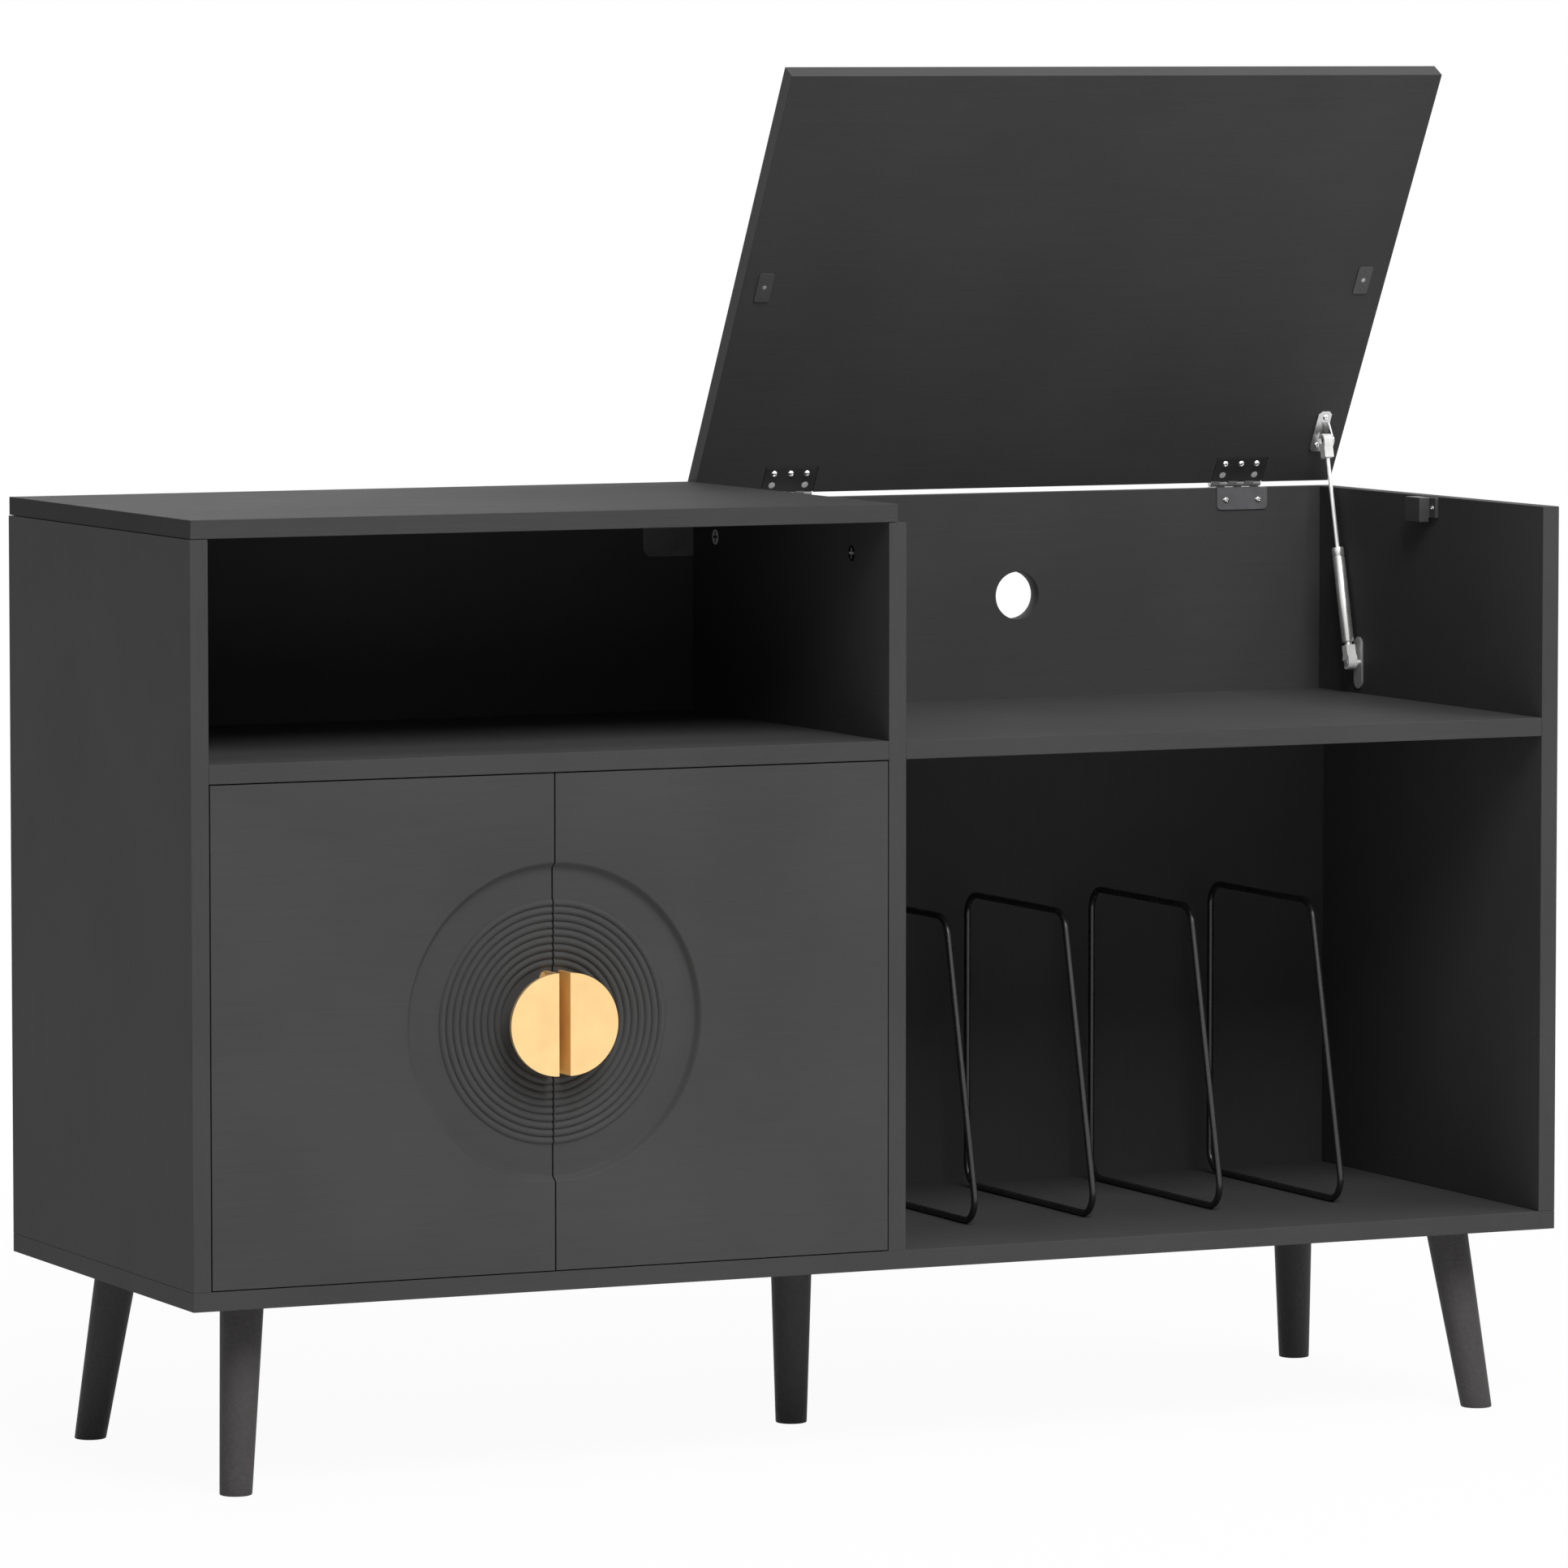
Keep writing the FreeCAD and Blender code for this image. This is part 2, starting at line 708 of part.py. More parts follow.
def knuckle_spans(first):
    """X spans of every other knuckle along the pin, about the hinge's middle."""
    pitch = dim("hinge_width") / dim("knuckle_count")
    start = dim("hinge_width") / -2 + dim("knuckle_gap") / 2
    spans = []
    for number in range(first, int(dim("knuckle_count").value), 2):
        spans.append((start + pitch * number, pitch - dim("knuckle_gap")))
    return spans


def make_lid_board():
    """The lid, recessed for the hinge leaves and cut away round the knuckles."""
    side = dim("lid_side_gap")
    rear = LID_REAR
    front = rear - dim("lid_length")
    play = dim("hinge_play")
    board = box("lid_blank", (side, HALF_WIDTH - side), (front, rear), (LID_UNDER, LID_UNDER + BOARD))
    half = dim("hinge_width") / 2 + play
    tools = []
    for name in ("left", "right"):
        middle = bay_x(name, dim(f"hinge_inset_{name}"))
        x = (middle - half, middle + half)
        y = (rear - dim("lid_leaf_length") - play, rear)
        tools.append(box(f"leaf_recess_{name}", x, y, (LID_UNDER, LID_UNDER + dim("lid_leaf_thickness"))))
        radius = dim("knuckle_radius") + play
        tools.append(rod(f"knuckle_notch_{name}", (1, 0, 0), radius, half * 2, middle - half, 0, 0))
    finish("lid_board", place_on_lid(cut("lid", board, tools)))


def make_lid_leaf(name, middle):
    """The moving leaf of a hinge: a plate let into the lid, rolled into three knuckles."""
    body = new_body(name)
    radius = dim("knuckle_radius")
    thick = dim("lid_leaf_thickness")
    half = dim("hinge_width") / 2
    front = LID_REAR - dim("lid_leaf_length")
    neck = -radius - dim("hinge_play")
    corner = dim("lid_leaf_chamfer")
    plate = [
        (corner - half, front),
        (half - corner, front),
        (half, front + corner),
        (half, neck),
        (-half, neck),
        (-half, front + corner),
    ]
    pad(body, "XY_Plane", LID_UNDER, thick, plate)
    level = LID_UNDER + thick
    meet = ZERO - square_root(radius * radius - level * level)
    barrel = arc_steps(ZERO, ZERO, radius, size_of(-90), slope(level, meet) + 450, KNUCKLE_STEPS)
    roll = [(neck - 1, LID_UNDER)] + barrel + [(neck - 1, level)]
    for start, length in knuckle_spans(0):
        knuckle(body, start, length, roll)
    finish(name, place_on_lid(body, middle))


def make_fixed_leaf(name, middle):
    """The fixed leaf: screwed to the back board, bent over its top and rolled up to the pin."""
    body = new_body(name)
    radius = dim("knuckle_radius")
    thick = dim("back_leaf_thickness")
    half = dim("hinge_width") / 2
    face = BACK_BOARD_FRONT - PIN_Y
    low = STRAP_TOP - dim("back_leaf_height")
    corner = dim("back_leaf_radius")
    plate = [
        (corner - half, low),
        (half - corner, low, half - corner, low + corner, 1),
        (half, low + corner),
        (half, STRAP_TOP),
        (-half, STRAP_TOP),
        (-half, low + corner, corner - half, low + corner, 1),
    ]
    pad(body, "XZ_Plane", -face, thick, plate)
    strap = rectangle((-half, half), (face - thick, radius))
    pad(body, "XY_Plane", STRAP_TOP - thick, thick, strap)
    inner = radius - thick
    meet = ZERO - square_root(radius * radius - inner * inner)
    foot = STRAP_TOP - thick
    barrel = arc_steps(ZERO, ZERO, radius, ZERO, slope(meet, inner) + 360, KNUCKLE_STEPS)
    roll = [(radius, foot)] + barrel + [(inner, foot)]
    for start, length in knuckle_spans(1):
        knuckle(body, start, length, roll)
    finish(name, place(body, middle, PIN_Y, PIN_Z))


def knuckle(body, start, length, outline):
    """Pads one rolled knuckle, with its bore for the pin."""
    sketch = new_sketch(body, "YZ_Plane", start)
    draw_outline(sketch, outline)
    draw_circle(sketch, dim("pin_radius") + dim("pin_play"))
    feature = body.newObject("PartDesign::Pad", f"{body.Name}_knuckle")
    feature.Profile = sketch
    bind(feature, "Length", length)


def make_hinges():
    width = dim("hinge_width")
    for side in ("left", "right"):
        middle = bay_x(side, dim(f"hinge_inset_{side}"))
        make_lid_leaf(f"hinge_lid_leaf_{side}", middle)
        make_fixed_leaf(f"hinge_back_leaf_{side}", middle)
        start = middle - width / 2
        name = f"hinge_pin_{side}"
        finish(name, rod(name, (1, 0, 0), dim("pin_radius"), width, start, PIN_Y, PIN_Z))


# Lid catches ---------------------------------------------------------------

def make_catch(side, face, turn):
    """A magnetic catch on an inner face: a flange on the panel and a block in front of it."""
    body = new_body(f"lid_catch_{side}")
    flange = dim("catch_flange_thickness") * turn
    depth = dim("catch_flange_thickness") + dim("catch_width")
    block = depth * turn
    flange_u = (ZERO, flange) if turn > 0 else (flange, ZERO)
    block_u = (flange, block) if turn > 0 else (block, flange)
    tall = dim("catch_flange_height")
    pad(body, "XY_Plane", -tall, tall, rectangle(flange_u, (-dim("catch_flange_length"), ZERO)))
    tall = dim("catch_height")
    pad(body, "XY_Plane", -tall, tall, rectangle(block_u, (-dim("catch_length"), ZERO)))
    top = PANEL_TOP + dim("lid_rest_gap") - dim("strike_thickness") - dim("strike_play")
    finish(f"lid_catch_{side}", place(body, face, HALF_DEPTH - dim("catch_rear_inset"), top))


def make_strike_plate(side):
    """The steel plate on the lid that meets a catch."""
    body = new_body(f"strike_plate_{side}")
    half = dim("strike_width") / 2
    rear = LID_REAR - dim("strike_reach")
    thick = dim("strike_thickness")
    outline = cut_rectangle((-half, half), (rear - dim("strike_length"), rear), dim("strike_chamfer"))
    pad(body, "XY_Plane", LID_UNDER - thick, thick, outline)
    finish(f"strike_plate_{side}", place_on_lid(body, bay_x(side, dim(f"strike_inset_{side}"))))


def make_catches():
    make_catch("left", HALF_BOARD, 1)
    make_catch("right", INNER_X, -1)
    make_strike_plate("left")
    make_strike_plate("right")


# Gas strut -----------------------------------------------------------------

def lid_pivot():
    """The strut's pivot on the lid, in the closed lid's frame about the hinge pin."""
    return LID_REAR - dim("strut_lid_reach"), LID_UNDER - dim("strut_lid_drop")


def strut_frame():
    """The strut's foot in the cabinet, its length with the lid open, and its lean to the back."""
    reach, drop = lid_pivot()
    angle = dim("lid_open_angle")
    head_y = PIN_Y + reach * cosine(angle) + drop * sine(angle)
    head_z = PIN_Z - reach * sine(angle) + drop * cosine(angle)
    foot_y = HALF_DEPTH - dim("strut_foot_inset")
    foot_z = SHELF_TOP + dim("strut_foot_rise")
    run = head_y - foot_y
    rise = head_z - foot_z
    return foot_y, foot_z, square_root(run * run + rise * rise), slope(run, rise)


def make_socket(name, mouth, y, z, turn):
    """A plastic socket that clips on a stud, with its mouth to one side and its neck up."""
    body = new_body(name)
    radius = dim("socket_radius")
    neck = dim("socket_neck")
    shoulder = dim("socket_shoulder")
    end = dim("socket_length")
    outline = [
        (-radius, 0, 0, 0, 1),
        (radius, 0),
        (radius, shoulder - 2),
        (neck, shoulder),
        (neck, end),
        (-neck, end),
        (-neck, shoulder),
        (-radius, shoulder - 2),
    ]
    width = dim("socket_width")
    pad(body, "YZ_Plane", width / -2, width, outline)
    pocket(body, "YZ_Plane", width / 2, width, dim("stud_radius") + dim("stud_play"))
    half = dim("socket_mouth") / 2
    side = (ZERO, radius + 1) if mouth > 0 else (-radius - 1, ZERO)
    pocket(body, "YZ_Plane", width / 2, width, rectangle(side, (-half, half)))
    finish(name, place(body, INNER_X - dim("strut_wall_offset"), y, z, turn))


def make_strut():
    """Tube and lower socket swing on the wall stud. Rod and upper socket slide in the tube."""
    foot_y, foot_z, length, lean = strut_frame()
    x = INNER_X - dim("strut_wall_offset")
    outer = dim("tube_radius")
    bore = dim("tube_bore_radius")
    stem = dim("tube_stem_radius")
    top = dim("tube_top")
    neck = dim("socket_length")
    tube = new_body("strut_tube")
    profile = [
        (0, neck),
        (stem, neck),
        (stem, dim("tube_bottom")),
        (outer, dim("tube_bottom")),
        (outer, top),
        (bore, top),
        (bore, dim("tube_floor")),
        (0, dim("tube_floor")),
    ]
    revolve(tube, "Revolution", "XZ_Plane", profile)
    finish("strut_tube", place(tube, x, foot_y, foot_z, -lean))
    make_socket("strut_lower_socket", 1, foot_y, foot_z, -lean)
    plunger = new_body("strut_rod")
    start = top - dim("rod_overlap")
    pad(plunger, "XY_Plane", start, length - neck - start, dim("rod_radius"))
    finish("strut_rod", place(plunger, x, foot_y, foot_z, -lean))
    head_y = foot_y + length * sine(lean)
    head_z = foot_z + length * cosine(lean)
    make_socket("strut_upper_socket", -1, head_y, head_z, 180 - lean)


def make_strut_wall_bracket():
    """A plate on the side panel with the stud that the lower socket clips on."""
    foot_y, foot_z, _, _ = strut_frame()
    body = new_body("strut_wall_bracket")
    thick = dim("bracket_thickness")
    gap = dim("stud_play")
    middle = dim("strut_wall_offset")
    half = dim("socket_width") / 2
    pad(body, "YZ_Plane", -thick, thick, capsule(dim("wall_bracket_length"), dim("wall_bracket_width")))
    tip = middle + half + gap
    pad(body, "YZ_Plane", -tip, tip - thick, dim("stud_radius"))
    finish("strut_wall_bracket", place(body, INNER_X, foot_y, foot_z))


def make_strut_lid_bracket():
    """A plate under the lid with a lug that comes down beside the upper socket."""
    body = new_body("strut_lid_bracket")
    thick = dim("bracket_thickness")
    half = dim("lid_bracket_width") / 2
    rear = LID_REAR - dim("lid_bracket_reach")
    y = (rear - dim("lid_bracket_length"), rear)
    plate = cut_rectangle((-half, half), y, dim("lid_bracket_chamfer"))
    pad(body, "XY_Plane", LID_UNDER - thick, thick, plate)
    reach, drop = lid_pivot()
    radius = dim("lug_radius")
    base = dim("lug_base") / 2
    level = LID_UNDER - thick
    outline = [
        (reach + base, level),
        (reach - base, level),
        (reach - radius, drop, reach, drop, 1),
        (reach + radius, drop),
    ]
    pad(body, "YZ_Plane", dim("socket_width") / 2 + dim("lug_gap"), thick, outline)
    finish("strut_lid_bracket", place_on_lid(body, INNER_X - dim("strut_wall_offset")))


# Doors ---------------------------------------------------------------------

def relief_outline():
    """What the round relief removes, as radius against depth. The ridges stay standing."""
    edge = dim("relief_radius")
    depth = dim("relief_depth")
    pitch = dim("ridge_pitch")
    top = depth - dim("ridge_rise")
    outline = [(0, 0), (edge, 0), (edge - dim("relief_bevel"), depth)]
    radius = dim("ridge_outer_radius")
    for _ in range(int(dim("ridge_count").value)):
        outline = outline + [(radius, depth), (radius - pitch / 2, top)]
        radius = radius - pitch
    return outline + [(radius, depth), (0, depth)]


def door_span(side):
    """X of a door's edges about the seam between the doors: the hinge edge and the seam edge."""
    gap = dim("door_gap")
    seam = dim("door_seam_gap") / 2
    if side == "left":
        return gap - INNER_X - SEAM_X, -seam
    return -HALF_BOARD - gap - SEAM_X, seam


def hinge_heights():
    """The two hinges of a door, as heights about its middle."""
    end = dim("lower_bay_height") / 2 - dim("door_gap") - dim("cup_end_offset")
    return [("upper", end), ("lower", -end)]


def make_door(side, turn):
    """A door with its half of the round relief, and two cup bores in its back."""
    hinge_edge, seam_edge = door_span(side)
    half = dim("lower_bay_height") / 2 - dim("door_gap")
    u = (hinge_edge, seam_edge) if turn > 0 else (seam_edge, hinge_edge)
    body = new_body(f"{side}_door")
    pad(body, "XZ_Plane", -BOARD, BOARD, rectangle(u, (-half, half)))
    revolve(body, "Groove", "XY_Plane", relief_outline())
    cup_x = hinge_edge + dim("cup_side_offset") * turn
    depth = dim("cup_depth") + dim("cup_play")
    for _, height in hinge_heights():
        sketch = new_sketch(body, "XZ_Plane", depth - BOARD)
        draw_circle(sketch, dim("cup_radius"), cup_x, height)
        bore = body.newObject("PartDesign::Pocket", f"{side}_door_cup_bore")
        bore.Profile = sketch
        bind(bore, "Length", depth)
    finish(f"{side}_door", place(body, SEAM_X, -HALF_DEPTH, DOOR_MIDDLE))


def make_handle(side, turn):
    """Bent sheet metal: a half disc in front, a web into the relief and a foot on its floor."""
    body = new_body(f"{side}_handle")
    radius = dim("handle_radius")
    edge = dim("handle_seam_offset") * -turn
    plate = dim("handle_plate")
    reach = dim("handle_reach")
    floor = dim("relief_depth")
    disc = [(edge, radius * turn, edge, 0, 1), (edge, radius * -turn)]
    pad(body, "XZ_Plane", reach - plate, plate, disc)
    web = edge - dim("handle_web") * turn
    foot = edge - dim("handle_foot_width") * turn
    web_u = (web, edge) if turn > 0 else (edge, web)
    foot_u = (foot, edge) if turn > 0 else (edge, foot)
    pad(body, "XZ_Plane", -floor, floor + reach - plate, rectangle(web_u, (-radius, radius)))
    half = dim("handle_foot_height") / 2
    outline = cut_rectangle(foot_u, (-half, half), dim("handle_foot_chamfer"))
    pad(body, "XZ_Plane", -floor, dim("handle_foot_thickness"), outline)
    finish(f"{side}_handle", place(body, SEAM_X, -HALF_DEPTH, DOOR_MIDDLE))


def make_hinge_cups(side, turn):
    """Steel cups let into the door's back, each with a flange for its screws."""
    hinge_edge, _ = door_span(side)
    x = SEAM_X + hinge_edge + dim("cup_side_offset") * turn
    outer = dim("cup_radius") - dim("cup_play")
    depth = dim("cup_depth")
    window = dim("cup_window") / 2
    thick = dim("cup_flange_thickness")
    width = dim("cup_flange_width") / 2
    height = dim("cup_flange_height") / 2
    for name, level in hinge_heights():
        body = new_body(f"{side}_door_cup_{name}")
        pad(body, "XZ_Plane", -thick, thick, rectangle((-width, width), (-height, height)))
        pad(body, "XZ_Plane", 0, depth, arc_steps(ZERO, ZERO, outer, ZERO, size_of(360), CUP_STEPS)[:-1])
        floor = depth - dim("cup_wall")
        pocket(body, "XZ_Plane", floor, floor + thick, rectangle((-window, window), (-window, window)))
        finish(f"{side}_door_cup_{name}", place(body, x, BOARD - HALF_DEPTH, DOOR_MIDDLE + level))


def make_hinge_arms(side, face, turn):
    """A mounting plate on the panel and an arm that ends just behind the door and its cup."""
    front = dim("arm_gap")
    plate_x = dim("arm_plate_thickness")
    arm_x = plate_x + dim("arm_width")
    toe_x = plate_x + dim("arm_toe_length")
    plate_y = front + dim("arm_plate_inset")
    for name, level in hinge_heights():
        body = new_body(f"{side}_hinge_arm_{name}")
        u = signed_span(ZERO, plate_x, turn)
        half = dim("arm_plate_height") / 2
        outline = rectangle(u, (plate_y, plate_y + dim("arm_plate_length")))
        pad(body, "XY_Plane", -half, half * 2, outline)
        half = dim("arm_height") / 2
        arm = rectangle(signed_span(plate_x, arm_x, turn), (front, front + dim("arm_length")))
        pad(body, "XY_Plane", -half, half * 2, arm)
        toe = rectangle(signed_span(arm_x, toe_x, turn), (front, front + dim("arm_toe_thickness")))
        pad(body, "XY_Plane", -half, half * 2, toe)
        finish(f"{side}_hinge_arm_{name}", place(body, face, BOARD - HALF_DEPTH, DOOR_MIDDLE + level))


def signed_span(near, far, turn):
    """A pair of X in rising order, measured from a face that looks to +X or to -X."""
    return (near, far) if turn > 0 else (-far, -near)


def make_doors():
    make_door("left", 1)
    make_door("right", -1)
    make_handle("left", 1)
    make_handle("right", -1)
    make_hinge_cups("left", 1)
    make_hinge_cups("right", -1)
    make_hinge_arms("left", -INNER_X, 1)
    make_hinge_arms("right", -HALF_BOARD, -1)


# Build, check and write ----------------------------------------------------

make_bottom_board()
make_side_panels()
make_divider_panel()
make_cam_locks()
make_top_board()
make_shelves()
make_back_sheets()
make_upper_back_board()
make_corner_plate()
make_legs()
make_record_dividers()
make_lid_board()
make_hinges()
make_catches()
make_strut()
make_strut_wall_bracket()
make_strut_lid_bracket()
make_doors()
doc.recompute()

for item in doc.Objects:
    if "Invalid" in item.State or "Error" in item.State:
        raise RuntimeError(f"{item.Name} did not build: {item.State}")
    if item.TypeId == "Sketcher::SketchObject" and not item.FullyConstrained:
        raise RuntimeError(f"{item.Name} is not fully constrained")
for label, item in parts.items():
    if item.Shape.isNull() or not item.Shape.isValid() or not item.Shape.Solids:
        raise RuntimeError(f"{label} is not a valid solid")

os.makedirs("parts", exist_ok=True)
for label, item in parts.items():
    item.Shape.exportStep(f"parts/{label}.step")
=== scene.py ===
"""Looks of the record cabinet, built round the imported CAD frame. Metres, in the frame's axes."""
import json
import math

import bmesh
import bpy
from mathutils import Matrix, Vector


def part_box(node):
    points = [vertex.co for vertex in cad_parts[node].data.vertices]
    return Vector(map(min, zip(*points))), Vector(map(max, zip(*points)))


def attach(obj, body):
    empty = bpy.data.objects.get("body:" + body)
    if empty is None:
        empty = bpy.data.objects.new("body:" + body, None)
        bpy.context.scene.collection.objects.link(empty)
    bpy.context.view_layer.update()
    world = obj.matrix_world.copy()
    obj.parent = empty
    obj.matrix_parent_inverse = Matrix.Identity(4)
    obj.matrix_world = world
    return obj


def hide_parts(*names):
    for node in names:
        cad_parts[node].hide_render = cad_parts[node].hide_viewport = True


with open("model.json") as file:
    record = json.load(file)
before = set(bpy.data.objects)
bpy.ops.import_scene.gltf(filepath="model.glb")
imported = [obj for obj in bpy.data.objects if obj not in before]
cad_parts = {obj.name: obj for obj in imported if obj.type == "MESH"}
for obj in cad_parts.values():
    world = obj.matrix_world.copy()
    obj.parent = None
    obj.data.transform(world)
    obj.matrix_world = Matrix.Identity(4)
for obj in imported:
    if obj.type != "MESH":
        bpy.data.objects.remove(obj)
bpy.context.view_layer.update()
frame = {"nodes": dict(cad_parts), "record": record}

MM = 0.001

# Places that several pieces share, in millimetres, as in the CAD model.
HALF_DEPTH = 200.0
SEAM_X = -296.25
DOOR_Z = 361.0
PIN_Y = 198.24
PIN_Z = 748.7
LID_ANGLE = math.radians(60.8)

# Rear edge and underside of the closed lid, about the hinge pin.
LID_REAR = -2.36
LID_UNDER = -3.2

# The range that most values of a noise lie in.
NOISE_LOW, NOISE_HIGH = 0.3, 0.7

# Specular level of the dull black finishes.
DULL = 0.06


# Node helpers --------------------------------------------------------------

def scaled(colour, factor):
    return tuple(channel * factor for channel in colour)


class Shader:
    """A material under construction: a Principled shader and the nodes that feed it."""

    def __init__(self, name, colour, roughness, metallic=0.0):
        self.material = bpy.data.materials.new(name)
        self.material.use_nodes = True
        self.nodes = self.material.node_tree.nodes
        self.links = self.material.node_tree.links
        self.nodes.clear()
        self.output = self.nodes.new("ShaderNodeOutputMaterial")
        self.main = self.nodes.new("ShaderNodeBsdfPrincipled")
        self.links.new(self.main.outputs[0], self.output.inputs[0])
        self.main.inputs["Base Color"].default_value = (*colour, 1)
        self.main.inputs["Roughness"].default_value = roughness
        self.main.inputs["Metallic"].default_value = metallic
        self.coordinates = self.nodes.new("ShaderNodeTexCoord").outputs["Object"]
        self.normal = None

    def add(self, kind, **inputs):
        """Adds a node. An input is a constant, or a socket to link."""
        node = self.nodes.new(kind)
        for key, value in inputs.items():
            if isinstance(value, bpy.types.NodeSocket):
                self.links.new(value, node.inputs[key])
            else:
                node.inputs[key].default_value = value
        return node

    def noise(self, scale, detail, roughness, stretch=None):
        """Noise over the object. A stretch scales it per axis."""
        vector = self.coordinates
        if stretch:
            vector = self.add("ShaderNodeMapping", Vector=vector, Scale=stretch).outputs["Vector"]
        inputs = {"Vector": vector, "Scale": scale, "Detail": detail, "Roughness": roughness}
        return self.add("ShaderNodeTexNoise", **inputs).outputs["Fac"]

    def cells(self, scale):
        """Soft round cells over the object."""
        node = self.add("ShaderNodeTexVoronoi", Vector=self.coordinates, Scale=scale)
        node.feature = "SMOOTH_F1"
        return node.outputs["Distance"]

    def spread(self, noise, low, high):
        """Spreads a noise between two values."""
        node = self.add("ShaderNodeMapRange", Value=noise)
        node.inputs["From Min"].default_value = NOISE_LOW
        node.inputs["From Max"].default_value = NOISE_HIGH
        node.inputs["To Min"].default_value = low
        node.inputs["To Max"].default_value = high
        return node.outputs["Result"]

    def tint(self, noise, colour, dark, light, end=NOISE_HIGH):
        """Lets the colour vary with a noise, between two factors."""
        node = self.add("ShaderNodeValToRGB", Fac=noise)
        stops = ((NOISE_LOW, dark), (end, light))
        for element, (position, factor) in zip(node.color_ramp.elements, stops):
            element.position = position
            element.color = (*scaled(colour, factor), 1)
        self.links.new(node.outputs["Color"], self.main.inputs["Base Color"])

    def rough(self, noise, low, high):
        """Lets the roughness vary with a noise."""
        self.links.new(self.spread(noise, low, high), self.main.inputs["Roughness"])

    def bump(self, height, strength, distance):
        """Adds a fine relief on top of the bumps so far."""
        node = self.add("ShaderNodeBump", Height=height, Strength=strength, Distance=distance)
        if self.normal:
            self.links.new(self.normal, node.inputs["Normal"])
        self.normal = node.outputs["Normal"]
        self.links.new(self.normal, self.main.inputs["Normal"])


# Materials -----------------------------------------------------------------

def board_laminate(name, colour, grain_axis, pebbled=0.35, shine=DULL):
    """Black laminate: a faint grain along the board and a fine pebbled face."""
    shader = Shader(name, colour, 0.5)
    shader.main.inputs["Specular IOR Level"].default_value = shine
    stretch = [60.0, 60.0, 60.0]
    stretch[grain_axis] = 2.2
    grain = shader.noise(6.0, 5.0, 0.6, stretch)
    cloud = shader.noise(7.0, 3.0, 0.5)
    blend = shader.add("ShaderNodeMath")
    blend.operation = "MULTIPLY_ADD"
    shader.links.new(grain, blend.inputs[0])
    blend.inputs[1].default_value = 0.6
    shader.links.new(shader.spread(cloud, 0.0, 0.4), blend.inputs[2])
    shader.tint(blend.outputs[0], colour, 0.93, 1.07, 0.75)
    shader.rough(grain, 0.54, 0.66)
    shader.bump(shader.cells(620.0), pebbled, 0.0004)
    shader.bump(grain, 0.08, 0.0003)
    return shader.material


def lacquered_wood(name, colour):
    """Black lacquer over turned wood, with a pebbled skin."""
    shader = Shader(name, colour, 0.5)
    shader.main.inputs["Specular IOR Level"].default_value = DULL
    speck = shader.noise(260.0, 3.0, 0.6)
    shader.tint(speck, colour, 0.9, 1.12, 0.75)
    shader.rough(speck, 0.45, 0.6)
    shader.bump(shader.cells(480.0), 0.7, 0.0005)
    shader.bump(speck, 0.12, 0.0003)
    return shader.material


def painted_steel(name, colour, roughness):
    """Satin paint on sheet steel, with a little orange peel."""
    shader = Shader(name, colour, roughness)
    shader.main.inputs["Coat Weight"].default_value = 0.25
    shader.main.inputs["Coat Roughness"].default_value = 0.2
    peel = shader.noise(420.0, 2.0, 0.5)
    shader.tint(shader.noise(55.0, 3.0, 0.5), colour, 0.85, 1.2)
    shader.rough(peel, roughness - 0.05, roughness + 0.08)
    shader.bump(peel, 0.08, 0.0002)
    return shader.material


def bright_metal(name, colour, roughness, stretch=None, depth=0.04, metallic=1.0):
    """Plated or brushed metal. The stretch lays its fine lines along one axis."""
    shader = Shader(name, colour, roughness, metallic)
    lines = shader.noise(90.0, 5.0, 0.65, stretch)
    shader.tint(shader.noise(40.0, 2.0, 0.5), colour, 0.94, 1.04)
    shader.rough(lines, roughness * 0.8, roughness * 1.25)
    shader.bump(lines, depth, 0.0002)
    return shader.material


def moulded_plastic(name, colour, roughness):
    """Moulded plastic with a fine sparked texture."""
    shader = Shader(name, colour, roughness)
    spark = shader.noise(900.0, 2.0, 0.5)
    shader.tint(shader.noise(60.0, 2.0, 0.5), colour, 0.93, 1.05)
    shader.rough(spark, roughness - 0.06, roughness + 0.06)
    shader.bump(spark, 0.06, 0.0002)
    return shader.material


BLACK = (0.0655, 0.0635, 0.0655)
door_laminate = board_laminate("door_laminate", (0.066, 0.066, 0.066), 0, 0.12)
laminate_x = board_laminate("laminate_along_x", BLACK, 0)
laminate_top = board_laminate("laminate_on_top", BLACK, 0, shine=0.01)
edge_band = board_laminate("edge_band", BLACK, 0, shine=0.14)
laminate_z = board_laminate("laminate_along_z", BLACK, 2)
back_sheet = board_laminate("hardboard", scaled(BLACK, 0.85), 2)
leg_lacquer = lacquered_wood("leg_lacquer", (0.078, 0.0745, 0.074))

black_steel = painted_steel("black_steel", (0.034, 0.034, 0.034), 0.4)
# The hinge's black steel painted lighter grey, as painted light where the back leaf and the corner
# plate catch light.
steel_with_painted_light = painted_steel("steel_with_painted_light", (0.115, 0.112, 0.117), 0.4)
black_wire = painted_steel("black_wire", (0.014, 0.014, 0.014), 0.3)

# A lighter steel: the strike plates' screw heads, and painted highlight on the hinge knuckles, the
# corner plate's rims and the front cam's slot.
steel_and_painted_highlight = bright_metal("steel_and_painted_highlight", (0.42, 0.42, 0.42), 0.35, None, 0.02, 0.6)
zinc = bright_metal("zinc", (0.74, 0.74, 0.73), 0.32, None, 0.01, 0.7)
brushed = bright_metal("brushed_steel", (0.74, 0.74, 0.73), 0.3, None, 0.01, 0.8)
chrome = bright_metal("chrome", (0.92, 0.92, 0.92), 0.1, None, 0.01)
bright_rod = bright_metal("bright_rod", (0.96, 0.96, 0.95), 0.2, None, 0.01, 0.45)
dark_chrome = bright_metal("dark_chrome", (0.66, 0.66, 0.66), 0.17, None, 0.02)
